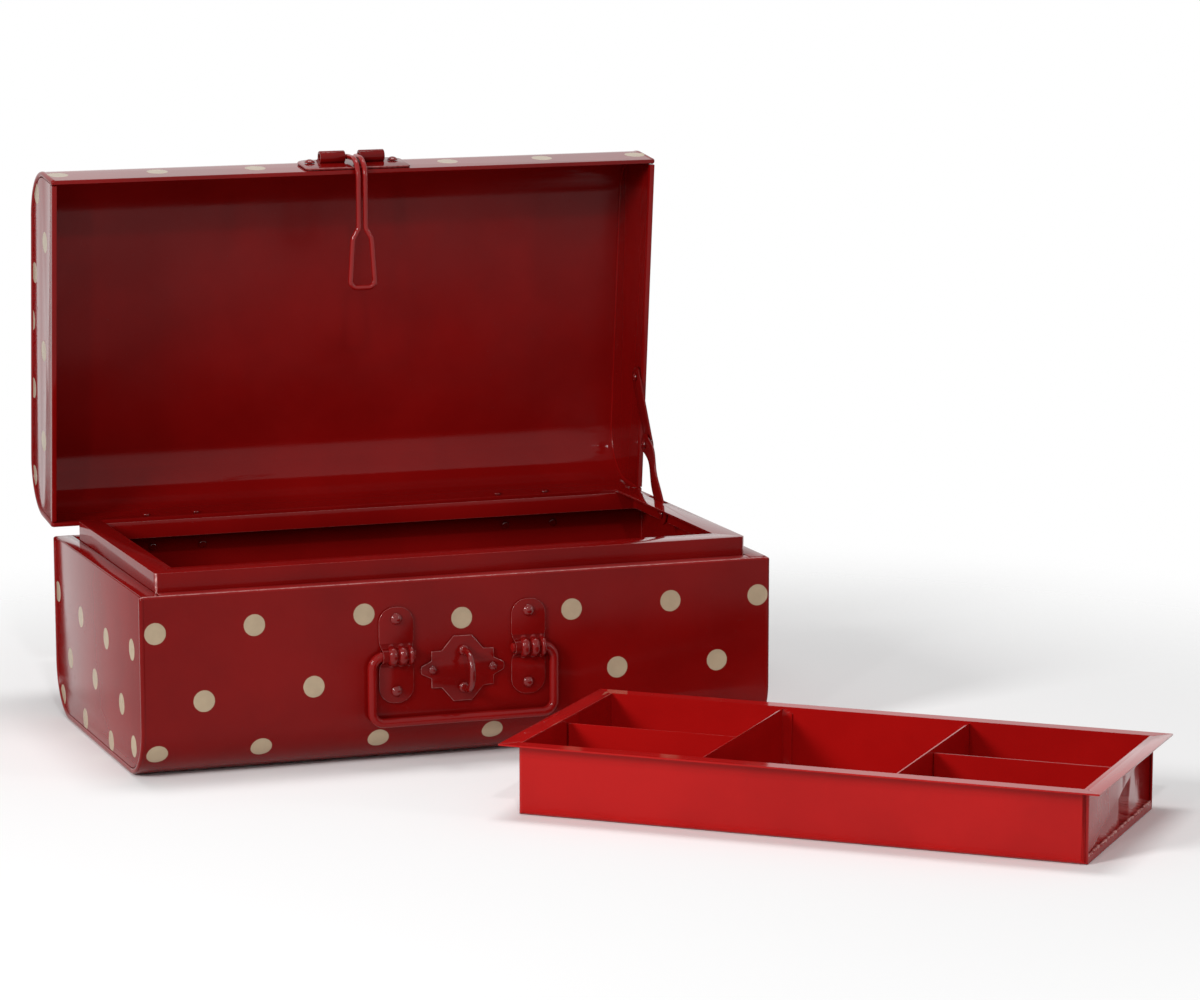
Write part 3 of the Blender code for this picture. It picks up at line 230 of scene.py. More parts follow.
def enamel(name, paint, wave=1.0, dots=None, offset=(0, 0), shine=0.15, rough=(0.075, 0.13),
           painted_highlight=0.0, buckle=0.0):
    """Baked enamel over thin sheet: a colour that varies with its thickness, specks, orange
    peel, nibs and a slow wave of the sheet. It can have upright buckles, pale dashes along
    rounded edges that are a painted highlight, and a matt print of dots."""
    bright, dark = paint
    material, tree, shader = new_material(name)
    place = add_node(tree, "ShaderNodeTexCoord").outputs["Object"]

    clouds = spread(tree, noise(tree, place, 16, 4, 0.55), 0.35, 0.68, 0, 1)
    colour = mix_colour(tree, clouds, (*dark, 1), (*bright, 1))
    specks = spread(tree, noise(tree, place, 950, 2), 0.7, 0.78, 0, 1)
    speck_colour = (*[c * 0.35 for c in dark], 1)
    colour = mix_colour(tree, math_node(tree, "MULTIPLY", specks, 0.35), colour, speck_colour)
    gloss = spread(tree, noise(tree, place, 30, 4, 0.6), 0.3, 0.75, *rough)
    gloss = add_share(tree, gloss, specks, 0.2)

    height = math_node(tree, "MULTIPLY", noise(tree, place, 430, 1, 0.4), PEEL_HEIGHT)
    height = add_share(tree, height, noise(tree, place, 11, 0, 0.4), WAVE_HEIGHT * wave)
    nibs = spread(tree, noise(tree, place, 330, 1, 0.2), 0.74, 0.8, 0, 1)
    height = add_share(tree, height, nibs, NIB_HEIGHT)
    if buckle:
        folds = noise(tree, vector_node(tree, "MULTIPLY", place, (1, 1, 0.12)), 34, 1, 0.4)
        height = add_share(tree, height, folds, buckle)
    # Pale dashes mixed into the colour along edges: a painted highlight
    if painted_highlight:
        highlight_dashes = spread(tree, noise(tree, place, 620, 2), 0.4, 0.6, 0.3 * painted_highlight, painted_highlight)
        colour = mix_colour(tree, highlight_dashes, colour, EDGE_HIGHLIGHT_PAINT)
    if dots is not None:
        flat = add_node(tree, "ShaderNodeAttribute", {"attribute_name": "spread"}).outputs["Vector"]
        nearest = lattice_dots(tree, flat, offset) if dots == "lattice" else listed_dots(tree, flat, dots)
        nearest = add_share(tree, nearest, noise(tree, place, 900, 2), DOT_RAGGED)
        mask = spread(tree, nearest, DOT_RADIUS - 0.0001, DOT_RADIUS + 0.0002, 1, 0)
        tint = spread(tree, noise(tree, place, 140), 0.3, 0.7, 0.9, 1.0)
        print_colour = vector_node(tree, "SCALE", DOT_COLOUR)
        tree.links.new(tint, print_colour.node.inputs["Scale"])
        colour = mix_colour(tree, mask, colour, print_colour)
        gloss = add_share(tree, gloss, mask, 0.16)
        height = add_share(tree, height, mask, PRINT_HEIGHT)
    bump = add_node(tree, "ShaderNodeBump", Height=height, Strength=1.0, Distance=1.0).outputs["Normal"]
    tree.links.new(colour, shader.inputs["Base Color"])
    tree.links.new(gloss, shader.inputs["Roughness"])
    tree.links.new(bump, shader.inputs["Normal"])
    shader.inputs["Specular IOR Level"].default_value = shine
    LOOKS[name] = material


# Dot centres, (x, z) on the front and (y, z) on the ends
FRONT_DOTS = [(-0.143, 0.068), (-0.0973, 0.069), (-0.0462, 0.0705), (0.0, 0.066), (0.0528, 0.0665),
              (0.101, 0.0673), (0.144, 0.0673), (-0.121, 0.036), (-0.07, 0.039), (0.075, 0.038),
              (0.124, 0.038), (-0.1422, 0.0115), (-0.094, 0.0115), (-0.039, 0.0115), (0.0155, 0.0115),
              (0.064, 0.0115), (0.108, 0.0115), (0.143, 0.0115)]
LEFT_DOTS = [(0.078, 0.059), (0.032, 0.055), (-0.0175, 0.054), (-0.066, 0.058), (0.055, 0.031),
             (0.006, 0.0305), (-0.045, 0.029), (0.072, 0.01), (0.027, 0.0074), (-0.0234, 0.0072),
             (-0.0664, 0.0138)]
RIGHT_DOTS = [(y + 0.006, z) for y, z in LEFT_DOTS]
LID_LEFT_DOTS = [(-0.071, 0.119), (-0.051, 0.102), (-0.032, 0.123), (0.002, 0.104), (0.025, 0.1255),
                 (0.046, 0.104), (0.068, 0.1235), (-0.008, 0.1275)]

# Paints, each as its bright and its dark tone
CASE = ((0.235, 0.0036, 0.0032), (0.19, 0.0026, 0.0024))
# FRONT is the case paint made darker for the front faces: painted shade
FRONT = ((0.2, 0.0031, 0.0027), (0.162, 0.0022, 0.002))
TRAY = ((0.42, 0.0066, 0.006), (0.36, 0.005, 0.0047))
FITTING = ((0.2, 0.0036, 0.0032), (0.14, 0.0024, 0.0022))
# WIRE and LOOP are the fitting paint made lighter: a painted sheen for the bail's and the hasp wire's
# highlights
WIRE = ((0.24, 0.0046, 0.0042), (0.195, 0.0036, 0.0033))
LOOP = ((0.3, 0.0062, 0.0056), (0.245, 0.005, 0.0045))
TRAY_DEEP = (TRAY[1], TRAY[1])
# The fittings' dark tone alone: painted shade for the bracket saddles
FITTING_PAINTED_SHADE = (FITTING[1], FITTING[1])
SATIN = (0.14, 0.21)
GLASSY = (0.05, 0.09)
LID_OFFSET = (0.0, 0.0115)

enamel("case_plain", CASE)
enamel("case_front", FRONT, dots=FRONT_DOTS, shine=0.13, rough=SATIN)
enamel("front_plain", FRONT, shine=0.11, rough=SATIN)
enamel("ledge_red", CASE, shine=0.55, rough=(0.34, 0.46))
# The edge materials carry pale dashes on rounded edges: a painted highlight, strongest on the collar corners
# and the tray
enamel("case_edge", CASE, 0.3, shine=0.45, painted_highlight=0.48)
enamel("corner_edge", CASE, 0.2, shine=1.0, painted_highlight=1.0)
enamel("lid_inner", CASE, 1.5, shine=0.17, rough=(0.17, 0.26))
enamel("case_back", CASE, dots="lattice", offset=(0.012, 0.017))
enamel("case_left", CASE, 0.45, LEFT_DOTS, shine=0.09)
enamel("case_right", CASE, 0.45, RIGHT_DOTS)
enamel("lid_skin", CASE, dots="lattice", offset=LID_OFFSET)
enamel("lid_front", CASE, dots="lattice", offset=LID_OFFSET, shine=0.3, rough=GLASSY)
enamel("lid_side", CASE, 0.45, LID_LEFT_DOTS, shine=0.2)
enamel("tray_red", TRAY, 0.7)
enamel("tray_end", TRAY_DEEP, 0.7, shine=1.0, buckle=0.0019)
enamel("tray_flange", TRAY, 1.5, shine=0.6)
enamel("tray_edge", TRAY, 0.3, shine=0.6, painted_highlight=0.95)
enamel("fitting_red", FITTING, 0.15, shine=0.14, rough=(0.11, 0.17))
enamel("fitting_edge", FITTING, 0.1, shine=0.4, painted_highlight=0.34)
enamel("tab_edge", FITTING, 0.1, shine=0.8, rough=GLASSY, painted_highlight=0.72)
enamel("bright_red", FITTING, 0.1, shine=0.42, rough=GLASSY)
# wire_red and loop_red carry the lighter paint that is a painted sheen
enamel("wire_red", WIRE, 0.1, shine=0.18, rough=GLASSY)
enamel("loop_red", LOOP, 0.1, shine=0.3, rough=GLASSY)
enamel("rib_red", FITTING, 0.1, shine=0.28, rough=GLASSY)
# The saddle's fold material: the dark tone with little shine, a painted shade
enamel("fold_red", FITTING_PAINTED_SHADE, 0.1, shine=0.05, rough=(0.16, 0.22))


# Mesh helpers
def arc(centre, radius, start, end, step=FINE):
    count = max(1, round(abs(end - start) / step))
    angles = [radians(start + (end - start) * i / count) for i in range(count + 1)]
    return [(centre[0] + radius * cos(a), centre[1] + radius * sin(a)) for a in angles]


def mirrored(points):
    """Carries an outline or a route on through its mirror image."""
    return points + [(-p[0], *p[1:]) for p in reversed(points)]


def span(side, near, far):
    """A range along x that is given for the right side, on either side."""
    return (near, far) if side > 0 else (-far, -near)


def mesh_of(build):
    bmesh.ops.recalc_face_normals(build, faces=build.faces)
    mesh = bpy.data.meshes.new("made")
    build.to_mesh(mesh)
    build.free()
    return mesh


def prism(outline, low, high, axis):
    """Extrudes an outline given in the two other axes."""
    slots = {"X": (2, 0, 1), "Y": (0, 2, 1), "Z": (0, 1, 2)}[axis]
    build = bmesh.new()
    rings = []
    for w in (low, high):
        rings.append([build.verts.new([(a, b, w)[i] for i in slots]) for a, b in outline])
        build.faces.new(rings[-1])
    count = len(outline)
    for i in range(count):
        j = (i + 1) % count
        build.faces.new((rings[0][i], rings[0][j], rings[1][j], rings[1][i]))
    return mesh_of(build)


def box(low, high):
    (x0, y0, z0), (x1, y1, z1) = low, high
    return prism([(x0, y0), (x1, y0), (x1, y1), (x0, y1)], z0, z1, "Z")


def turned(profile, origin, direction, segments=32):
    """Revolves (radius, height) points about a direction."""
    build = bmesh.new()
    angles = [2 * pi * i / segments for i in range(segments)]
    rings = []
    for radius, height in profile:
        ring = [(radius * cos(a), radius * sin(a), height) for a in (angles if radius else [0])]
        rings.append([build.verts.new(spot) for spot in ring])
    for below, above in zip(rings[:-1], rings[1:]):
        for i in range(segments):
            j = (i + 1) % segments
            ring = [below[0]] if len(below) == 1 else [below[i], below[j]]
            ring += [above[0]] if len(above) == 1 else [above[j], above[i]]
            build.faces.new(ring)
    turn = Vector((0, 0, 1)).rotation_difference(Vector(direction)).to_matrix().to_4x4()
    build.transform(moved(origin) @ turn)
    return mesh_of(build)


def rod(low, high, y, z, radius, segments):
    """A round bar along x."""
    run = Vector((high, y, z)) - Vector((low, y, z))
    return turned([(0, 0), (radius, 0), (radius, run.length), (0, run.length)], (low, y, z), run, segments)


def dome(base, radius, height, angles):
    """A round head's profile, from its crown below -base up to its rim."""
    turns = [radians(a) for a in angles]
    return [(0, -base - height)] + [(radius * sin(a), -base - height * cos(a)) for a in turns]


def loft(rings):
    """Skins closed rings of points, with a flat face at both ends."""
    build = bmesh.new()
    verts = [[build.verts.new(spot) for spot in ring] for ring in rings]
    for a, b in zip(verts[:-1], verts[1:]):
        for k in range(len(a)):
            m = (k + 1) % len(a)
            build.faces.new((a[k], a[m], b[m], b[k]))
    build.faces.new(verts[0])
    build.faces.new(verts[-1])
    return mesh_of(build)


def joined(meshes):
    build = bmesh.new()
    for mesh in meshes:
        build.from_mesh(mesh)
    return mesh_of(build)


def added(name, content):
    thing = bpy.data.objects.new(name, content)
    bpy.context.scene.collection.objects.link(thing)
    return thing


def modify(thing, kind, **settings):
    modifier = thing.modifiers.new(kind, kind)
    for key, value in settings.items():
        setattr(modifier, key, value)


def solid(base, steps=(), bevel=0.0, segments=2, angle=32, place=REST, edge=0):
    """Runs Booleans and an edge rounding, and returns the finished mesh. The rounded edges
    take the material index edge, if one is given."""
    for _ in range(edge + 1 if edge else 0):
        base.materials.append(LOOKS["case_plain"])
    thing = added("temporary", base)
    helpers = [added("temporary", mesh) for _, mesh in steps]
    for (operation, _), helper in zip(steps, helpers):
        modify(thing, "BOOLEAN", operation=operation, solver="EXACT", object=helper)
    if bevel:
        modify(thing, "BEVEL", width=bevel, segments=segments, limit_method="ANGLE",
               angle_limit=radians(angle), miter_outer="MITER_ARC", material=edge or -1)
    bpy.context.view_layer.update()
    evaluated = thing.evaluated_get(bpy.context.evaluated_depsgraph_get())
    mesh = bpy.data.meshes.new_from_object(evaluated)
    for spent in [thing, *helpers]:
        bpy.data.objects.remove(spent)
    mesh.transform(place)
    return mesh


def sort_faces(mesh, index, rule=lambda face: True):
    """Gives a material index to all faces that follow a rule."""
    for face in mesh.polygons:
        if rule(face):
            face.material_index = index


def finish(name, mesh, looks, body, sharp=28):
    """Adds a finished piece that stands for the CAD node of the same name. The material
    indices of its faces follow the order of its looks."""
    thing = added(name + "_skin", mesh)
    for index, look in enumerate(looks.split()):
        if index < len(mesh.materials):
            mesh.materials[index] = LOOKS[look]
        else:
            mesh.materials.append(LOOKS[look])
    mesh.shade_smooth()
    mesh.set_sharp_from_angle(angle=radians(sharp))
    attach(thing, body)
    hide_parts(name)


def fitting(name, mesh, looks, body, sharp=28):
    finish(name, mesh, looks, body, sharp)


def fillet(corners, radii, step=7.5):
    """A route through 3-D corners with each inner corner rounded."""
    points = [Vector(corners[0])]
    for before, corner, after, radius in zip(corners[:-2], corners[1:-1], corners[2:], radii):
        before, corner, after = Vector(before), Vector(corner), Vector(after)
        inward, outward = (before - corner).normalized(), (after - corner).normalized()
        half = inward.angle(outward) / 2
        centre = corner + (inward + outward).normalized() * (radius / sin(half))
        first = corner + inward * (radius / tan(half)) - centre
        last = corner + outward * (radius / tan(half)) - centre
        sweep = first.angle(last)
        count = max(1, round(degrees(sweep) / step))
        for i in range(count + 1):
            part = first * sin((1 - i / count) * sweep) + last * sin(i / count * sweep)
            points.append(centre + part / sin(sweep))
    points.append(Vector(corners[-1]))
    return points


def round_end(ring, inward, radius):
    """A wire's end ring, set back, with the two smaller rings that round it."""
    back = 0.3
    shapes = ((0.45, 0.3), (0.8, 0.1))
    small = [[(p + inward * (-radius * d + radius * back), o * s) for p, o in ring] for s, d in shapes]
    return small + [[(p + inward * radius * back, o) for p, o in ring]]


def tube(points, radius, segments=20, place=REST):
    """A round wire along a route, with softly rounded ends."""
    points = [Vector(p) for p in points]
    directions = [(b - a).normalized() for a, b in zip(points[:-1], points[1:])]
    between = [(a + b).normalized() for a, b in zip(directions[:-1], directions[1:])]
    tangents = [directions[0], *between, directions[-1]]
    side = tangents[0].orthogonal().normalized()
    rings = []
    for i, (point, tangent) in enumerate(zip(points, tangents)):
        side = (side - tangent * side.dot(tangent)).normalized()
        other = tangent.cross(side)
        wide, bend = 1.0, Vector()
        if 0 < i < len(points) - 1:
            wide = 1 / max(0.5, directions[i - 1].dot(tangent))
            bend = directions[i] - directions[i - 1]
        ring = []
        for k in range(segments):
            angle = 2 * pi * k / segments
            offset = (side * cos(angle) + other * sin(angle)) * radius
            if bend.length > 1e-6:
                across = bend.normalized()
                offset += across * offset.dot(across) * (wide - 1)
            ring.append((point, offset))
        rings.append(ring)
    head = round_end(rings[0], tangents[0], radius)
    tail = round_end(rings[-1], -tangents[-1], radius)
    mesh = loft([[p + o for p, o in ring] for ring in head + rings[1:-1] + tail[::-1]])
    mesh.transform(place)
    return mesh


def tub_contour(half, rim, floor, radius):
    """The U of a tub in (y, z) with round corners, standing up or turned over."""
    way = 1 if rim > floor else -1
    centre = floor + way * radius
    points = [(-half, rim)] + arc((-half + radius, centre), radius, 180, 180 + way * 90)
    return points + arc((half - radius, centre), radius, -way * 90, 0) + [(half, rim)]


def ring_solids(rim, floor):
    """The seamed rings round both ends of a wrapper sheet."""
    way = 1 if rim > floor else -1
    outer = tub_contour(HALF_DEPTH, rim, floor, CORNER_RADIUS)
    inner = tub_contour(HALF_DEPTH - RING_DEPTH, rim, floor + way * RING_DEPTH, CORNER_RADIUS - RING_DEPTH)
    outline = outer + inner[::-1]
    inside = HALF_LENGTH - RING_WIDTH
    rings = [prism(outline, *span(side, inside, HALF_LENGTH), "X") for side, _ in SIDES]
    return [solid(ring, (), 0.001, 4, 50) for ring in rings]


def arc_length(y, z, lid):
    """Height of a wrapper point measured along the sheet from the front wall, whose own
    z is kept, over the bottom or top to the back."""
    floor = 0.0
    if lid:
        z = LID_TOP + LID_RIM - z
        floor = LID_RIM
    turn = floor + CORNER_RADIUS
    edge = HALF_DEPTH - CORNER_RADIUS
    middle = turn - CORNER_RADIUS * pi / 2 - edge
    if z >= turn:
        run = z
    elif abs(y) > edge:
        run = turn - CORNER_RADIUS * atan2(turn - z, abs(y) - edge)
    else:
        run = middle + abs(y)
    if y > 0:
        run = 2 * middle - run
    return (LID_TOP + LID_RIM - run) if lid else run


def wall_distance(y, z, lid):
    """How far inside the wrapper's outer skin a point lies."""
    if lid:
        z = LID_TOP + LID_RIM - z - LID_RIM
    edge = HALF_DEPTH - CORNER_RADIUS
    if z >= CORNER_RADIUS:
        return HALF_DEPTH - abs(y)
    if abs(y) > edge:
        return CORNER_RADIUS - hypot(abs(y) - edge, CORNER_RADIUS - z)
    return z


# What sorts a sheet's faces: the depth of its outer skin, the bare strip along the fold,
# and half the depth of the core that its outer faces look away from
SKIN = 0.0006
FOLD_STRIP = 0.0012
CORE_HALF = 0.055


def store_places(mesh, closed, place_of):
    """Stores where each vertex lies on the flat print."""
    layer = mesh.attributes.new("spread", "FLOAT_VECTOR", "POINT")
    for vertex, entry in zip(mesh.vertices, layer.data):
        entry.vector = (*place_of(closed @ vertex.co), 0)


def lay_out(mesh, lid, closed):
    """Lays the print on a wrapper sheet and sorts its faces: 0 plain, 1 the printed front
    half, 2 the printed back half, 3 the fold over the base's front, which takes a pale painted
    highlight, and 4 the lid's inside or the base's ledge in front of the collar. The lid's
    rounded edges are 3 already and take the same painted highlight."""
    store_places(mesh, closed, lambda p: (p.x, arc_length(p.y, p.z, lid)))
    middle = LID_RIM + 0.01 if lid else BASE_HEIGHT / 2 + 0.02
    for face in mesh.polygons:
        point = closed @ face.center
        normal = closed.to_3x3() @ face.normal
        depth = wall_distance(point.y, point.z, lid)
        index = face.material_index
        if lid:
            if index == 0 and SHEET - HAIR < depth < SHEET + HAIR and abs(normal.x) < 0.5:
                index = 4
        else:
            on_fold = point.y < -WALL_FACE + FOLD_RADIUS and point.z > BASE_HEIGHT - FOLD_RADIUS
            if on_fold and 0.7 < normal.z < 0.86:
                index = 3
            if normal.z > 0.9 and point.z > BASE_HEIGHT - 2 * HAIR and point.y < COLLAR_FRONT:
                index = 4
        core = Vector((0, max(-CORE_HALF, min(CORE_HALF, point.y)), middle))
        outward = Vector((0, point.y, point.z)) - core
        faces_out = normal.dot(outward.normalized()) > 0.5
        at_rim = point.z < LID_RIM + SKIN if lid else point.z > BASE_HEIGHT - FOLD_STRIP
        if faces_out and depth < SKIN and not at_rim and index == 0:
            index = 1 if point.y < 0 else 2
        face.material_index = index


def rivet(name, place, outward, stack, body, head=RIVET_HEAD, matrix=REST):
    """A set rivet: a domed head with a soft rim outside, a shank, and a peened tail."""
    radius, height = head
    base = stack + GAP
    dome_height = height * 0.88
    sphere = (radius * radius + dome_height * dome_height) / (2 * dome_height)
    profile = [(0, base + height)]
    for share in (0.16, 0.32, 0.48, 0.64, 0.79, 0.93):
        angle = share * asin(radius / sphere)
        profile.append((sphere * sin(angle), base + height - sphere * (1 - cos(angle))))
    profile += [(radius, base + height * 0.1), (radius * 0.985, base + height * 0.03), (radius * 0.95, base)]
    low = -SHEET - GAP
    end, tail = RIVET_TAIL
    profile += [(RIVET_SHANK, base), (RIVET_SHANK, low), (end * 0.96, low), (end, low - tail * 0.3),
                (end * 0.9, low - tail * 0.8), (end * 0.6, low - tail), (0, low - tail)]
    mesh = turned(profile, place, outward)
    mesh.transform(matrix)
    fitting(name, mesh, "bright_red", body, 50)


# The base
def base_section():
    half, top, fold = WALL_FACE, BASE_HEIGHT, FOLD_RADIUS
    front_lip, back_lip = COLLAR_FRONT - GAP, COLLAR_BACK + GAP
    outer = tub_contour(half, top - fold, 0, CORNER_RADIUS)
    front = [(front_lip, top)] + arc((-half + fold, top - fold), fold, 90, 180, 15)
    back = arc((half - fold, top - fold), fold, 0, 90, 15) + [(back_lip, top)]
    inner = tub_contour(half - SHEET, top - SHEET, SHEET, CORNER_RADIUS - SHEET)
    return front + outer[1:-1] + back + [(back_lip, top - SHEET)] + inner[::-1] + [(front_lip, top - SHEET)]


def make_base():
    steps = [(ADD, ring) for ring in ring_solids(BASE_HEIGHT - GAP, HAIR)]
    lip = WALL_FACE - SHEET - LEDGE_LIP
    for side, _ in SIDES:
        low, high = span(side, COLLAR_HALF_LENGTH - GAP, HALF_LENGTH + OVERRUN)
        opening = box((low, -lip, BASE_HEIGHT - 3 * SHEET), (high, lip, BASE_HEIGHT + OVERRUN))
        steps.append((CUT, opening))
    base = solid(prism(base_section(), -SHEET_END, SHEET_END, "X"), steps, 0.00014)
    lay_out(base, False, REST)
    finish("base_shell", base, "case_plain case_front case_back case_edge ledge_red", "base")


def end_outline(rim, floor):
    way = 1 if rim > floor else -1
    inset = RING_DEPTH + GAP
    return tub_contour(HALF_DEPTH - inset, rim, floor + way * inset, CORNER_RADIUS - inset)


def print_end(mesh, side, closed):
    """Prints the dots on an end plate's outer face only."""
    store_places(mesh, closed, lambda p: p.yz)
    sort_faces(mesh, 1, lambda f: f.normal.x * side > 0.7 and abs(abs(f.center.x) - END_OUTER) < HAIR)


HALF_RING = HALF_DEPTH - RING_DEPTH - GAP


def make_base_end(side, word):
    half_sheet = WALL_FACE - SHEET - LEDGE_LIP - GAP
    trim = SHEET / 8
    near = COLLAR_HALF_LENGTH + GAP
    outline = end_outline(BASE_HEIGHT - SHEET / 2, HAIR)
    plate = prism(outline, *span(side, END_PLATE_INNER, END_OUTER), "X")
    low, high = span(side, near, END_PLATE_OUTER + GAP)
    ledge = box((low, -HALF_RING, BASE_HEIGHT - SHEET), (high, HALF_RING, BASE_HEIGHT))
    low, high = span(side, near + SHEET / 4, HALF_LENGTH - RING_WIDTH - GAP)
    ears = box((low, -half_sheet, BASE_HEIGHT - SHEET + trim), (high, half_sheet, BASE_HEIGHT - trim))
    mesh = solid(plate, [(ADD, ledge), (ADD, ears)], 0.00025, 3)
    print_end(mesh, side, REST)
    finish("base_end_" + word, mesh, "case_plain case_" + word, "base")


# The collar, with the slot that the stay comes through
STAY_FOOT_X = COLLAR_HALF_LENGTH - SHEET - 0.0004 - STAY_SHEET
STAY_UPPER_X = END_PLATE_INNER - RIM_BEAD_INWARD - GAP - STAY_SHEET
STAY_WASHER = 0.001
STAY_RAISED_X = STAY_UPPER_X - STAY_WASHER - STAY_SHEET
STAY_SLOT = (0.0225, 0.0464)


def rounded_rectangle(low, high, radius):
    left, right = low[0] + radius, high[0] - radius
    near, far = low[1] + radius, high[1] - radius
    centres = ((right, near), (right, far), (left, far), (left, near))
    return [p for i, c in enumerate(centres) for p in arc(c, radius, 90 * i - 90, 90 * i, 7.5)]


def make_collar():
    skirt = BASE_HEIGHT - COLLAR_SKIRT
    half, front, back, radius = COLLAR_HALF_LENGTH, COLLAR_FRONT, COLLAR_BACK, COLLAR_CORNER_RADIUS
    outer = rounded_rectangle((-half, front), (half, back), radius)
    inner = rounded_rectangle((-half + SHEET, front + SHEET), (half - SHEET, back - SHEET), radius - SHEET)
    hollow = prism(inner, skirt - OVERRUN, COLLAR_TOP - SHEET, "Z")
    mouth_x = half - COLLAR_END_FLANGE
    low, high = front + COLLAR_FRONT_FLANGE, back - COLLAR_BACK_FLANGE
    above, below, lowered = COLLAR_TOP + OVERRUN, skirt - OVERRUN, COLLAR_TOP - COLLAR_BACK_DROP
    profile = [(low, below), (low, above), (back + OVERRUN, above), (back + OVERRUN, lowered),
               (high, lowered), (high, below)]
    mouth = prism(profile, -mouth_x, mouth_x, "X")
    slot_cut = box((STAY_FOOT_X - 0.0006, STAY_SLOT[0], COLLAR_TOP - 2 * SHEET),
                   (half - SHEET / 2, STAY_SLOT[1], COLLAR_TOP + OVERRUN))
    steps = [(CUT, cut) for cut in (hollow, mouth, slot_cut)]
    collar = solid(prism(outer, skirt, COLLAR_TOP, "Z"), steps, 0.00035, 3, edge=1)
    # The collar's rounded edges take a pale painted highlight, and its front corners a stronger painted
    # highlight
    sort_faces(collar, 2, lambda f: f.normal.y < -0.9 and f.center.y < front + SHEET / 2)
    corner = front + radius
    sort_faces(collar, 3, lambda f: abs(f.normal.x) > 0.45 and f.normal.y < -0.45 and f.center.y < corner)
    finish("base_collar", collar, "case_plain case_edge front_plain corner_edge", "base")


# The lid
def lid_section():
    half, hem = WALL_FACE, LID_RIM + RIM_HEM_HEIGHT
    outer = tub_contour(half, LID_RIM, LID_TOP, CORNER_RADIUS)
    inner = tub_contour(half - SHEET, hem, LID_TOP - SHEET, CORNER_RADIUS - SHEET)
    back = [(half - RIM_HEM, LID_RIM), (half - RIM_HEM, hem)]
    front = [(-half + RIM_HEM, hem), (-half + RIM_HEM, LID_RIM)]
    return outer + back + inner[::-1] + front


def make_lid():
    steps = [(ADD, ring) for ring in ring_solids(LID_RIM + GAP, LID_TOP - HAIR)]
    cover = solid(prism(lid_section(), -SHEET_END, SHEET_END, "X"), steps, 0.0003, 3, place=OPENED, edge=3)
    lay_out(cover, True, CLOSED)
    finish("lid_shell", cover, "case_plain lid_front lid_skin case_edge lid_inner", "lid")


def make_lid_end(side, word):
    outline = end_outline(LID_RIM + SHEET / 2, LID_TOP - HAIR)
    plate = prism(outline, *span(side, END_PLATE_INNER, END_OUTER), "X")
    low, high = span(side, END_PLATE_INNER - RIM_BEAD_INWARD, HALF_LENGTH - RING_PROUD)
    rim = box((low, -HALF_RING, LID_RIM), (high, HALF_RING, LID_RIM + RIM_HEM_HEIGHT))
    mesh = solid(plate, [(ADD, rim)], 0.0004, 3, place=OPENED)
    print_end(mesh, side, CLOSED)
    finish("lid_end_" + word, mesh, "case_plain lid_side", "lid")


# The hinges on the back
KNUCKLE_RADIUS = 0.0026
HALF_HINGE = HINGE_LENGTH / 2
HALF_MIDDLE = 0.0067
LEAF_HEIGHT = 0.015
LEAF_CORNER = 0.004
HINGE_BORE = 0.0015
PIN_RADIUS = 0.0012
PIN_HEAD = (0.0019, 0.0008)


def leaf_outline(centre, side):
    centre_z = HINGE_Z + side * LEAF_HEIGHT - side * LEAF_CORNER
    near, at_axis = HINGE_Z + side * (KNUCKLE_RADIUS + GAP), HINGE_Z - side * GAP
    right = arc((HALF_HINGE - LEAF_CORNER, centre_z), LEAF_CORNER, 0, side * 90, 9)
    left = arc((-HALF_HINGE + LEAF_CORNER, centre_z), LEAF_CORNER, side * 90, side * 180, 9)
    if side < 0:
        step, first, second = HALF_MIDDLE + GAP, at_axis, near
    else:
        step, first, second = HALF_MIDDLE, near, at_axis
    own = mirrored([(-HALF_HINGE, first), (-step, first), (-step, second)])
    return [(centre + x, z) for x, z in own + right + left]


def make_hinge(half, word):
    centre = half * HINGE_SPACING / 2
    face = WALL_FACE + GAP
    for side, part, place, spans in (
            (-1, "base", REST, ((-HALF_HINGE, -HALF_MIDDLE - GAP), (HALF_MIDDLE + GAP, HALF_HINGE))),
            (1, "lid", OPENED, ((-HALF_MIDDLE, HALF_MIDDLE),))):
        steps = []
        for low, high in spans:
            knuckle = rod(centre + low, centre + high, HINGE_Y, HINGE_Z, KNUCKLE_RADIUS, 40)
            steps.append((ADD, knuckle))
        low, high = centre - HALF_HINGE - OVERRUN, centre + HALF_HINGE + OVERRUN
        steps.append((CUT, rod(low, high, HINGE_Y, HINGE_Z, HINGE_BORE, 28)))
        seam_z = HINGE_Z + side * 0.0003
        steps.append((CUT, box((low, HINGE_Y + KNUCKLE_RADIUS * 0.4, seam_z - HAIR),
                               (high, HINGE_Y + KNUCKLE_RADIUS + OVERRUN, seam_z + HAIR))))
        leaf = prism(leaf_outline(centre, side), face, face + SHEET, "Y")
        mesh = solid(leaf, steps, 0.00018, place=place, edge=1)
        fitting(f"hinge_{word}_{part}_leaf", mesh, "fitting_red fitting_edge", part)
        for way, end in SIDES:
            spot = (centre + way * HINGE_RIVET_SPACING / 2, WALL_FACE, HINGE_Z + side * HINGE_RIVET_DROP)
            rivet(f"rivet_hinge_{word}_{part}_{end}", spot, (0, 1, 0), GAP + SHEET, part, matrix=place)
    reach = HALF_HINGE + GAP
    head = dome(reach, *PIN_HEAD, (20, 40, 60, 75, 90))
    profile = head + [(PIN_RADIUS, -reach), (PIN_RADIUS, reach)] + [(r, -h) for r, h in reversed(head)]
    pin = turned(profile, (centre, HINGE_Y, HINGE_Z), (1, 0, 0), 28)
    fitting(f"hinge_{word}_pin", pin, "bright_red", "base", 50)


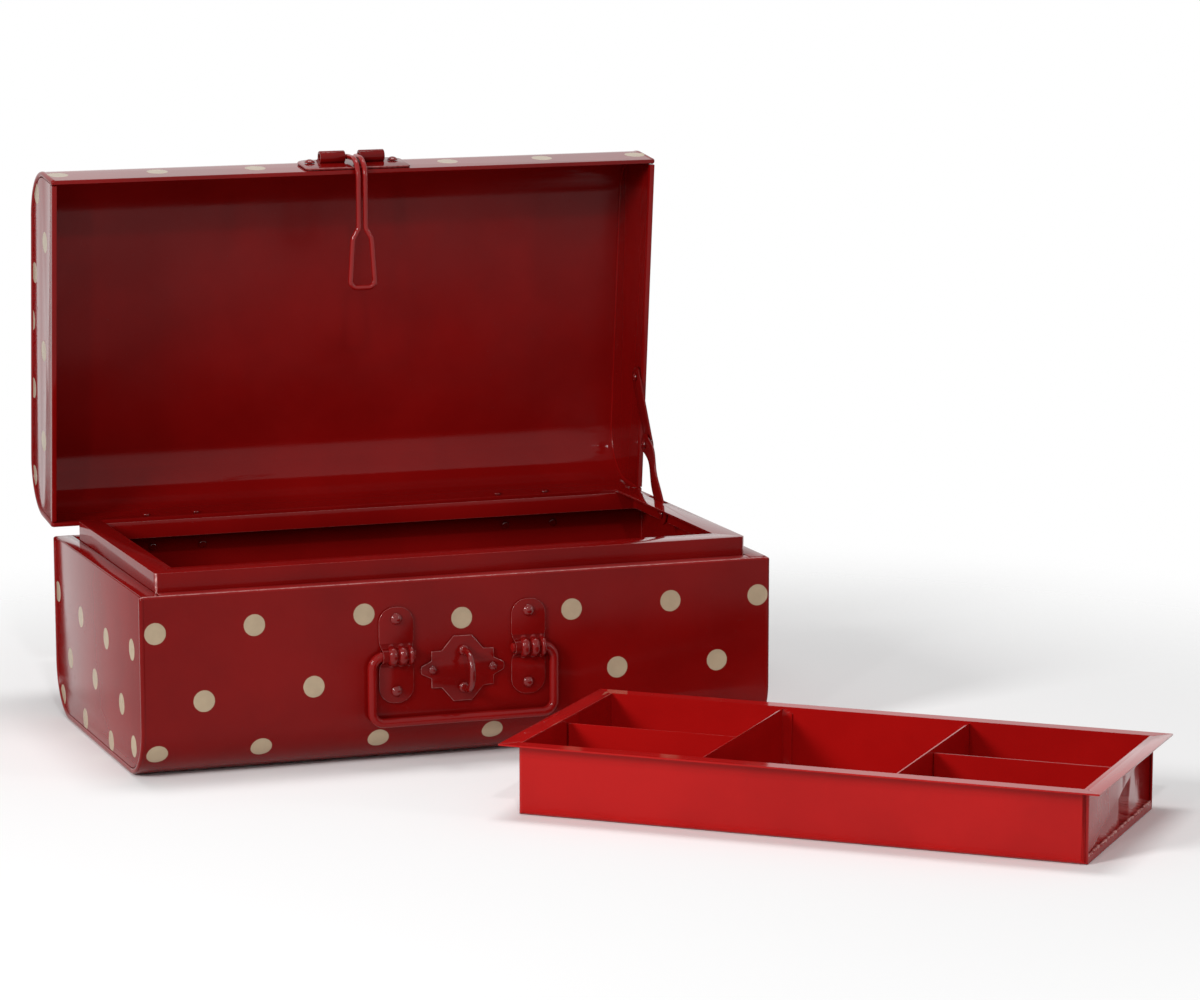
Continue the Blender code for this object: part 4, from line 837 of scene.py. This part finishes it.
# The handle
HALF_BRACKET = 0.0081
HALF_BRACKET_HEIGHT = 0.022
BRACKET_END_RADIUS = 0.0072
BRACKET_WAIST = 0.0008
BRACKET_TURN = 0.0022
HANDLE_INSIDE = HANDLE_WIRE_RADIUS + GAP
RIB_SPANS = ((-0.0025, 0.0021), (0.0022, 0.0021), (0.0061, 0.0013))
BAIL_HALF = 0.0434
BAIL_DROP = 0.0308


def bracket_outline(cx):
    half, tall, radius = HALF_BRACKET, HALF_BRACKET_HEIGHT, BRACKET_END_RADIUS
    neck = HANDLE_INSIDE + BRACKET_SHEET
    waist = half - BRACKET_WAIST
    right = arc((half - radius, tall - radius), radius, 90, 0, 6)
    right += [(half, neck * 2), (waist, neck), (waist, -neck), (half, -neck * 2)]
    right += arc((half - radius, radius - tall), radius, 0, -90, 6)
    return [(cx + x, HANDLE_Z + z) for x, z in mirrored(right)]


def saddle_outside():
    """The saddle's outside in (y, z), from the upper tab over the wire to the lower tab."""
    outside, turn = HANDLE_INSIDE + BRACKET_SHEET, BRACKET_TURN
    front = BRACKET_FRONT
    reach = sqrt((outside + turn) ** 2 - (front - turn - HANDLE_Y) ** 2)
    start = degrees(atan2(reach, front - turn - HANDLE_Y))
    upper = arc((front - turn, reach), turn, 0, start - 180, 10)
    lower = [(y, -z) for y, z in reversed(upper)]
    return upper + arc((HANDLE_Y, 0), outside, start, 360 - start, 6)[1:-1] + lower


def saddle_section():
    back, front = FRONT_SEAT, BRACKET_FRONT
    tall = HALF_BRACKET_HEIGHT + OVERRUN
    in_angle = degrees(acos((back - HANDLE_Y) / HANDLE_INSIDE))
    inner = arc((HANDLE_Y, 0), HANDLE_INSIDE, 360 - in_angle, in_angle, 8)
    points = [(front, tall)] + saddle_outside() + [(front, -tall), (back, -tall)] + inner + [(back, tall)]
    return [(y, HANDLE_Z + z) for y, z in points]


def pressed_rib(x, half):
    """A smooth rib pressed out of the saddle, which runs out flat on both tabs."""
    front = BRACKET_FRONT
    proud, bury, upper_run, lower_run = 0.0014, 0.0004, 0.0064, 0.005
    ends = (0.0066, 0.0062, 0.0058)
    spine = [Vector((front, z)) for z in ends] + [Vector(p) for p in saddle_outside()]
    spine += [Vector((front, -z)) for z in reversed(ends)]
    way = [0.0]
    for before, after in zip(spine[:-1], spine[1:]):
        way.append(way[-1] + (after - before).length)
    rings = []
    for i, point in enumerate(spine):
        run = (spine[min(i + 1, len(spine) - 1)] - spine[max(i - 1, 0)]).normalized()
        out = Vector((run.y, -run.x))
        share = min(1.0, way[i] / upper_run, (way[-1] - way[i]) / lower_run)
        share = share * share * (3 - 2 * share)
        rise, wide = (proud + bury / 2) * share + bury / 2, half * (0.6 + 0.4 * share)
        ring = []
        for k in range(17):
            angle = pi * k / 16
            spot = point + out * (rise * sin(angle) - bury)
            ring.append((x + wide * cos(angle), spot.x, HANDLE_Z + spot.y))
        rings.append(ring)
    return loft(rings)


def make_bracket(side, word):
    cx = side * BRACKET_SPACING / 2
    wide = HALF_BRACKET + OVERRUN
    face = prism(bracket_outline(cx), HANDLE_Y - 0.0065, -WALL_FACE + OVERRUN, "Y")
    saddle = prism(saddle_section(), cx - wide, cx + wide, "X")
    mesh = solid(saddle, [("INTERSECT", face)], 0.0004, 3, 40, edge=1)
    # The saddle round the wire takes the dark fold material: painted shade
    sort_faces(mesh, 3, lambda f: f.material_index == 0 and abs(f.center.z - HANDLE_Z) < 0.0062)
    pressed = [pressed_rib(cx + place, half) for place, half in RIB_SPANS]
    for rib in pressed:
        sort_faces(rib, 2)
    mesh = joined([mesh, *pressed])
    fitting("handle_bracket_" + word, mesh, "fitting_red tab_edge rib_red fold_red", "base")
    for way, end in ((-1, "lower"), (1, "upper")):
        spot = (cx, -WALL_FACE, HANDLE_Z + way * BRACKET_RIVET_SPACING / 2)
        rivet(f"rivet_bracket_{word}_{end}", spot, (0, -1, 0), GAP + BRACKET_SHEET, "base")


def make_bail():
    tip = BRACKET_SPACING / 2 - HALF_BRACKET - 0.0016 + BRACKET_WAIST
    left = [(-tip, 0, 0), (-BAIL_HALF, 0, 0), (-BAIL_HALF, 0, -BAIL_DROP)]
    route = fillet(mirrored(left), [0.0058, 0.0055, 0.0055, 0.0058], 5)
    place = moved((0, HANDLE_Y, HANDLE_Z))
    fitting("handle_bail", tube(route, HANDLE_WIRE_RADIUS, 32, place), "wire_red", "handle", 60)


# The staple
STAPLE_PLATE = (0.0199, 0.0151)
STAPLE_CORNERS = ((0.22, 1.0), (0.5, 0.57), (0.745, 0.56), (0.75, 0.27), (0.985, 0.12), (1.0, 0.04))
STAPLE_HALF = 0.0086
STAPLE_REACH = 0.0142
STAPLE_BEND = 0.0078
STAPLE_COLLAR = (0.0014, 0.0011, 0.003)


def make_staple():
    back, front = FRONT_SEAT, FRONT_SEAT - STAPLE_PLATE_SHEET
    quarter = [(x * STAPLE_PLATE[0], z * STAPLE_PLATE[1]) for x, z in STAPLE_CORNERS]
    right = quarter + [(x, -z) for x, z in reversed(quarter)]
    outline = [(x, STAPLE_PLATE_Z + z) for x, z in mirrored(right)]
    plate = solid(prism(outline, front, back, "Y"), (), 0.00024, 3, 12, edge=1)
    fitting("staple_plate", plate, "fitting_red fitting_edge", "base")
    for side, word in SIDES:
        spot = (side * STAPLE_PLATE_RIVET_SPACING / 2, -WALL_FACE, STAPLE_PLATE_Z)
        rivet("rivet_staple_plate_" + word, spot, (0, -1, 0), GAP + STAPLE_PLATE_SHEET, "base", SMALL_HEAD)
    crown = front - STAPLE_REACH
    low, top = STAPLE_PLATE_Z - STAPLE_HALF, STAPLE_PLATE_Z + STAPLE_HALF
    corners = [(0, back, top), (0, crown, top), (0, crown, low), (0, back, low)]
    wire = tube(fillet(corners, [STAPLE_BEND, STAPLE_BEND], 4), STAPLE_WIRE_RADIUS, 28)
    turns = [radians(a) for a in range(30, 171, 14)]
    neck, swell, tall = STAPLE_COLLAR
    foot = [(0, -0.0004), (0.0016, -0.0004)]
    foot += [(neck + swell * sin(a), neck - neck * cos(a)) for a in turns]
    foot += [(0.0013, tall), (0, tall)]
    steps = [(ADD, turned(foot, (0, front, z), (0, -1, 0), 28)) for z in (low, top)]
    fitting("staple", solid(wire, steps), "bright_red", "base", 60)


# The hasp
HASP_PLATE = (0.026, 0.0215)
HASP_PLATE_LIFT = 0.001
HASP_CORNERS = (0.0024, 0.0062)
HASP_BARREL_SPAN = (0.0036, 0.016)
HASP_BORE = 0.0018
HASP_TONGUE_RISE = 0.0075
HASP_SEAM = (0.0023, 0.0019, 0.0017)
HASP_GRIP = 0.0008
HASP_RUN = 0.0017
HASP_REACH = 0.0172
HASP_DROP = 0.0612
HASP_LOOP_WIDTH = 0.0118
HASP_FOOT_WIDTH = 0.015
HASP_LOOP_HEIGHT = 0.0285
HASP_FLARE = 0.0052
HASP_BEND = 0.0034
HASP_CROWN_BEND = 0.009
HASP_WELD = 0.0015


def make_hasp_plate():
    back, front = FRONT_SEAT, FRONT_SEAT - HASP_SHEET
    half, low = HASP_PLATE[0], LID_RIM + HASP_PLATE_LIFT
    high = low + HASP_PLATE[1]
    small, large = HASP_CORNERS
    right = arc((half - small, low + small), small, -90, 0, 9)
    right += arc((half - large, high - large), large, 0, 90, 6)
    plate = solid(prism(mirrored(right), front, back, "Y"), (), 0.00026, 3, edge=1)
    y, z = HASP_AXIS_Y, HASP_AXIS_Z
    bury = front + HASP_SHEET / 2
    top, rise = HASP_BARREL_RADIUS * 0.8, HASP_TONGUE_RISE
    tongue = [(bury, z + rise)]
    for share in (0.15, 0.3, 0.45, 0.6, 0.75, 0.9, 1.0):
        tongue.append((front - (front - y) * share ** 2.2, z + rise - (rise - top) * share))
    tongue += [(y, z - top / 2), (bury, z - top / 2)]
    seam_inside, seam_low, seam_high = HASP_SEAM
    steps = []
    for side, _ in SIDES:
        start, end = span(side, *HASP_BARREL_SPAN)
        barrel = solid(rod(start, end, y, z, HASP_BARREL_RADIUS, 48), (), 0.00035, 3, 50)
        seam = box((start - GAP, y - HASP_BARREL_RADIUS - GAP, z - seam_low),
                   (end + GAP, y - seam_inside, z - seam_high))
        steps += [(ADD, barrel), (ADD, prism(tongue, start + GAP, end - GAP, "X")), (CUT, seam)]
    steps.append((CUT, rod(-half - OVERRUN, half + OVERRUN, y, z, HASP_BORE, 28)))
    fitting("hasp_plate", solid(plate, steps, place=OPENED), "fitting_red fitting_edge", "lid")
    for side, word in SIDES:
        spot = (side * HASP_RIVET_SPACING / 2, -WALL_FACE, HASP_AXIS_Z)
        rivet("rivet_hasp_" + word, spot, (0, -1, 0), GAP + HASP_SHEET, "lid", matrix=OPENED)


def make_hasp_wire():
    place = moved((0, *opened(HASP_AXIS_Y, HASP_AXIS_Z)))
    reach, drop, run, bend = -HASP_REACH, -HASP_DROP, HASP_RUN, HASP_BEND
    loop, foot = HASP_LOOP_WIDTH / 2 - HASP_WIRE_RADIUS, HASP_FOOT_WIDTH / 2 - HASP_WIRE_RADIUS
    flare_top = drop + HASP_LOOP_HEIGHT
    half_way = [(HASP_BARREL_SPAN[1] - HASP_GRIP, 0, 0), (run, 0, 0), (run, reach, 0),
                (run, reach, flare_top), (loop, reach, flare_top - HASP_FLARE), (foot, reach, drop)]
    bends = [bend * 0.45, HASP_CROWN_BEND, loop, loop, bend]
    wire = tube(fillet(mirrored(half_way), bends + bends[::-1], 6), HASP_WIRE_RADIUS, 24)
    weld = bmesh.new()
    bmesh.ops.create_icosphere(weld, subdivisions=3, radius=HASP_WELD)
    spot = (foot - 0.0004, reach + 0.0001, drop + 0.0022)
    weld.transform(moved(spot) @ Matrix.Diagonal((1, 0.95, 1.25, 1)))
    wire = solid(wire, [(ADD, mesh_of(weld))], place=place)
    fitting("hasp_wire", wire, "loop_red", "hasp", 60)


# The stay
LINK_HALF_WIDTH = 0.00475
LINK_END_RADIUS = 0.0052
LINK_BOW = 0.005
JOGGLE = (0.26, 0.85)


def link_outline(start, end, bow):
    run = Vector((end[0] - start[0], end[1] - start[1]))
    along = run.normalized()
    across = Vector((-along.y, along.x))
    heading = degrees(atan2(along.y, along.x))
    left, right = [], []
    for i in range(1, 12):
        middle = along * (run.length * i / 12) + across * (bow * sin(pi * i / 12))
        left.append(tuple(middle + across * LINK_HALF_WIDTH))
        right.append(tuple(middle - across * LINK_HALF_WIDTH))
    tail = arc((0, 0), LINK_END_RADIUS, heading + 110, heading + 250, 10)
    return tail + right + arc(tuple(run), LINK_END_RADIUS, heading - 70, heading + 70, 10) + left[::-1]


def joggled(outline, heading):
    """A flat link that is set over sideways between its foot and its elbow."""
    far = max(hypot(a, b) for a, b in outline)
    start, end = JOGGLE[0] * far, JOGGLE[1] * far
    build = bmesh.new()
    build.faces.new([build.verts.new((0, a, b)) for a, b in outline])
    for i in range(13):
        pieces = list(build.verts) + list(build.edges) + list(build.faces)
        cut = start + (end - start) * i / 12
        bmesh.ops.bisect_plane(build, geom=pieces, plane_co=heading * cut, plane_no=heading)
    made = bmesh.ops.extrude_face_region(build, geom=list(build.faces))
    lifted = [item for item in made["geom"] if isinstance(item, bmesh.types.BMVert)]
    bmesh.ops.translate(build, verts=lifted, vec=(STAY_SHEET, 0, 0))
    for vert in build.verts:
        share = min(1.0, max(0.0, (vert.co.dot(heading) - start) / (end - start)))
        vert.co.x += STAY_FOOT_X + (STAY_RAISED_X - STAY_FOOT_X) * share * share * (3 - 2 * share)
    return mesh_of(build)


def make_stay():
    heading = Vector((0, STAY_ELBOW[0] - STAY_FOOT[0], STAY_ELBOW[1] - STAY_FOOT[1])).normalized()
    lower = joggled(link_outline(STAY_FOOT, STAY_ELBOW, LINK_BOW), heading)
    pivot = opened(*STAY_LID_PIVOT)
    upper = prism(link_outline(pivot, STAY_ELBOW, 0), STAY_UPPER_X, STAY_UPPER_X + STAY_SHEET, "X")
    for word, link, spot in (("lower", lower, STAY_FOOT), ("upper", upper, pivot)):
        link = solid(link, (), 0.00022, 2, 50, place=moved((0, *spot)))
        fitting(f"stay_{word}_link", link, "fitting_red", "stay_" + word)
    face = COLLAR_HALF_LENGTH - SHEET
    rivet("rivet_stay_foot", (face, *STAY_FOOT), (-1, 0, 0), face - STAY_FOOT_X, "base", SMALL_HEAD)
    face = END_PLATE_INNER
    rivet("rivet_stay_lid", (face, *STAY_LID_PIVOT), (-1, 0, 0), face - STAY_UPPER_X, "lid", SMALL_HEAD,
          OPENED)
    inner, outer = STAY_SHEET + GAP, STAY_SHEET + STAY_WASHER - GAP
    tail = RIVET_TAIL[0]
    profile = dome(GAP, *SMALL_HEAD, (18, 36, 54, 72, 90))
    profile += [(RIVET_SHANK, -GAP), (RIVET_SHANK, inner), (tail, inner), (tail, outer), (0, outer)]
    elbow = turned(profile, (STAY_RAISED_X, *STAY_ELBOW), (1, 0, 0))
    fitting("rivet_stay_elbow", elbow, "bright_red", "stay_lower", 50)


# The loose tray, made with its front left corner at the origin
TRAY_TUCK = TRAY_SHEET + GAP
TRAY_MITRE = 0.00012
TRAY_TURN = 0.0024
TRAY_SEAM = (0.00015, 0.0002, 0.0029)
BEAD_DROPS = 58
BEAD_HEIGHT = 0.0031
DIVIDER_TAB = 0.005
DIVIDER_SLOPE = 0.002
CROSS_DROP = 0.0008
LONG_DROP = 0.0026


def tray_solid(base, steps, bevel):
    return solid(base, steps, bevel, 3, 30, place=TRAY_PLACE, edge=1)


def from_end(side, u):
    return u if side < 0 else TRAY_LENGTH - u


def make_tray_pan():
    length, w, t, h, f, r = TRAY_LENGTH, TRAY_DEPTH, TRAY_SHEET, TRAY_HEIGHT, TRAY_FLANGE, TRAY_RADIUS
    mitre, turn = TRAY_MITRE, TRAY_TURN
    section = [(0, h), (t, h)] + arc((r, r), r - t, 180, 270, 15) + arc((w - r, r), r - t, 270, 360, 15)
    section += [(w - t, h), (w, h)] + arc((w - r, r), r, 0, -90, 10) + arc((r, r), r, 270, 180, 10)
    strip = [(-f + mitre, -f), (length + f - mitre, -f), (length - mitre, 0), (length - mitre, t * 0.9),
             (mitre, t * 0.9), (mitre, 0)]
    steps = [(ADD, prism(outline, h - t, h, "Z")) for outline in (strip, [(u, w - v) for u, v in strip])]
    near, short, seam_top = TRAY_SEAM
    for low, high in ((near, TRAY_END_INSET - short), (length - TRAY_END_INSET + short, length - near)):
        steps.append((ADD, box((low, r * 0.8, t / 2), (high, w - r * 0.8, seam_top))))
    round_plan = rounded_rectangle((0, 0), (length, w), turn)
    around = box((-OVERRUN, -OVERRUN / 2, -OVERRUN), (length + OVERRUN, w + OVERRUN / 2, h - t - GAP))
    inside = prism(round_plan, -2 * OVERRUN, h, "Z")
    steps.append((CUT, solid(around, [(CUT, inside)])))
    far_u, far_v = length - turn, w - turn
    for u, v, start in ((turn, turn, 180), (far_u, turn, 270), (far_u, far_v, 0), (turn, far_v, 90)):
        bend = arc((u, v), turn, start, start + 90, 7.5) + arc((u, v), turn - t, start + 90, start, 7.5)
        steps.append((ADD, prism(bend, t * 1.4, h - t / 2, "Z")))
    pan = tray_solid(prism(section, 0, length, "X"), steps, 0.0002)
    finish("tray_pan", pan, "tray_red tray_edge", "tray")


def weld_bead(side):
    """A rough bead of small drops along an end's foot, in the tray edges' pale painted highlight."""
    build = bmesh.new()
    for i in range(BEAD_DROPS):
        size = 0.00062 + 0.00022 * sin(i * 2.1) + 0.00012 * sin(i * 0.83 + side)
        v = TRAY_RADIUS + (TRAY_DEPTH - 2 * TRAY_RADIUS) * i / (BEAD_DROPS - 1)
        spot = (from_end(side, TRAY_END_INSET * 0.62), v, BEAD_HEIGHT + 0.0002 * sin(i * 1.37))
        place = TRAY_PLACE @ moved(spot)
        bmesh.ops.create_icosphere(build, subdivisions=2, radius=size, matrix=place)
    bead = mesh_of(build)
    sort_faces(bead, 1)
    return bead


def make_tray_end(side, word):
    w, t, h, f, r = TRAY_DEPTH, TRAY_SHEET, TRAY_HEIGHT, TRAY_FLANGE, TRAY_RADIUS
    mitre, tuck, inset, centre = TRAY_MITRE, TRAY_TUCK, TRAY_END_INSET, TRAY_RADIUS + GAP
    plan = [(-f, -f + mitre), (-GAP, -GAP + mitre), (-GAP, tuck), (inset + t, tuck), (inset + t, w - tuck),
            (-GAP, w - tuck), (-GAP, w + GAP - mitre), (-f, w + f - mitre)]
    plate = prism([(from_end(side, u), v) for u, v in plan], h - t, h, "Z")
    near, far = sorted((from_end(side, inset + t / 8), from_end(side, inset + t * 7 / 8)))
    wall = [(tuck, h - t / 2)] + arc((centre, centre), r - t, 180, 270, 15)
    wall += arc((w - r - GAP, centre), r - t, 270, 360, 15) + [(w - tuck, h - t / 2)]
    wall = [(v + (t / 8 if v < w / 2 else -t / 8), z) for v, z in wall]
    mesh = tray_solid(plate, [(ADD, prism(wall, near, far, "X"))], 0.0002)
    sort_faces(mesh, 2, lambda f: f.material_index == 0 and abs(f.normal.z) < 0.3)
    mesh = joined([mesh, weld_bead(side)])
    finish("tray_end_" + word, mesh, "tray_flange tray_edge tray_end", "tray")


def make_divider(name, low, high, axis, at, reach):
    """A divider sheet with a tab folded over at both ends of its run."""
    run = "XY".index(axis)
    (start, bottom), (stop, top) = (low[run], low[2]), (high[run], high[2])
    tab = [(at, bottom), (at + reach, bottom), (at + reach, top - DIVIDER_SLOPE), (at, top)]
    spans = ((start, start + TRAY_SHEET), (stop - TRAY_SHEET, stop))
    mesh = tray_solid(box(low, high), [(ADD, prism(tab, a, b, axis)) for a, b in spans], 0.00026)
    finish(name, mesh, "tray_red tray_edge", "tray")


def make_dividers(side, word):
    t, tuck, top = TRAY_SHEET, TRAY_TUCK, TRAY_HEIGHT
    face = TRAY_LENGTH / 2 + side * DIVIDER_SPACING / 2
    low, high = sorted((face, face - side * t))
    make_divider("tray_cross_divider_" + word, (low, tuck, tuck + TRAY_RADIUS - t),
                 (high, TRAY_DEPTH - tuck, top - CROSS_DROP), "Y", face, -side * DIVIDER_TAB)
    start, stop = sorted((from_end(side, TRAY_END_INSET + t + GAP),
                          TRAY_LENGTH / 2 + side * (DIVIDER_SPACING / 2 + GAP)))
    line = TRAY_DEPTH * 0.495
    make_divider("tray_long_divider_" + word, (start, line, tuck), (stop, line + t, top - LONG_DROP),
                 "X", line, DIVIDER_TAB)


make_base()
for side, word in SIDES:
    make_base_end(side, word)
make_collar()
make_lid()
for make in (make_lid_end, make_hinge, make_bracket):
    for side, word in SIDES:
        make(side, word)
for make in (make_bail, make_staple, make_hasp_plate, make_hasp_wire, make_stay, make_tray_pan):
    make()
for side, word in SIDES:
    make_tray_end(side, word)
    make_dividers(side, word)


# Camera, light and floor
PICTURE = (1200.0, 1000.0)
FOCAL_PIXELS = 4594.254
CENTRE_PIXELS = (500.0, 640.0)
CAMERA_PLACE = (-0.630846, -2.028025, 0.4628)
CAMERA_TURN = (18.462, 11.267, -0.256)
SURROUND = 0.27
FLOOR_HEIGHT = -0.0002
FLOOR_CENTRE = (0.03, -0.12, 0)
FLOOR_FADE = (0.29, 0.62)
LAMP_AIM = (0, -0.05, 0.1)
LAMPS = (
    ("key", (-1.9, -1.0, 1.05), (0.52, 0.6), 30),
    ("top", (0.1, 0.2, 1.9), (0.9, 0.5), 13),
    ("right", (1.5, -1.35, 0.8), (0.1, 0.7), 3.2),
    ("left", (-1.25, -1.75, 0.75), (0.07, 0.6), 4.0),
    ("spark", (-0.45, -1.9, 1.5), (0.1, 0.1), 7.0),
)


def build_camera():
    camera = bpy.data.cameras.new("camera")
    camera.lens = FOCAL_PIXELS / PICTURE[0] * camera.sensor_width
    camera.shift_x = (PICTURE[0] / 2 - CENTRE_PIXELS[0]) / PICTURE[0]
    camera.shift_y = (CENTRE_PIXELS[1] - PICTURE[1] / 2) / PICTURE[0]
    camera.clip_start = 0.05
    camera.clip_end = 30
    yaw, pitch, roll = (radians(a) for a in CAMERA_TURN)
    turn = Matrix.Rotation(-yaw, 4, "Z") @ Matrix.Rotation(pi / 2 - pitch, 4, "X")
    holder = added("camera", camera)
    holder.matrix_world = moved(CAMERA_PLACE) @ turn @ Matrix.Rotation(roll, 4, "Z")
    bpy.context.scene.camera = holder


def build_world():
    """White to the eye, to mirrors and through glass, and a soft fill for the rest."""
    world = bpy.data.worlds.new("studio")
    bpy.context.scene.world = world
    world.use_nodes = True
    tree = world.node_tree
    path = add_node(tree, "ShaderNodeLightPath").outputs
    shown = math_node(tree, "MAXIMUM", path["Is Camera Ray"], path["Is Glossy Ray"])
    shown = math_node(tree, "MAXIMUM", shown, path["Is Transmission Ray"])
    back = tree.nodes["Background"]
    back.inputs["Color"].default_value = (1, 1, 1, 1)
    tree.links.new(spread(tree, shown, 0, 1, SURROUND, 1.0, "LINEAR"), back.inputs["Strength"])


def build_floor():
    """A pale floor that fades out round the object."""
    floor = bpy.data.meshes.new("floor")
    corners = [(x, y, FLOOR_HEIGHT) for x, y in ((-6, -6), (6, -6), (6, 6), (-6, 6))]
    floor.from_pydata(corners, [], [(0, 1, 2, 3)])
    ground = added("floor", floor)
    material, tree, shader = new_material("floor")
    shader.inputs["Base Color"].default_value = (0.96, 0.96, 0.96, 1)
    shader.inputs["Roughness"].default_value = 0.9
    shader.inputs["Specular IOR Level"].default_value = 0.0
    place = add_node(tree, "ShaderNodeTexCoord").outputs["Object"]
    away = vector_node(tree, "LENGTH", vector_node(tree, "SUBTRACT", place, FLOOR_CENTRE))
    fade = spread(tree, away, *FLOOR_FADE, 0, 1)
    clear = add_node(tree, "ShaderNodeBsdfTransparent").outputs[0]
    mix = add_node(tree, "ShaderNodeMixShader", i0=fade, i1=shader.outputs[0], i2=clear).outputs[0]
    tree.links.new(mix, tree.nodes["Material Output"].inputs["Surface"])
    floor.materials.append(material)


def build_lamps():
    for name, where, size, power in LAMPS:
        lamp = bpy.data.lights.new(name, "AREA")
        lamp.shape = "RECTANGLE"
        lamp.size, lamp.size_y = size
        lamp.energy = power
        thing = added(name, lamp)
        thing.location = where
        thing.rotation_euler = (Vector(LAMP_AIM) - Vector(where)).to_track_quat("-Z", "Y").to_euler()


build_camera()
build_world()
build_floor()
build_lamps()
bpy.context.scene.view_settings.view_transform = "Standard"
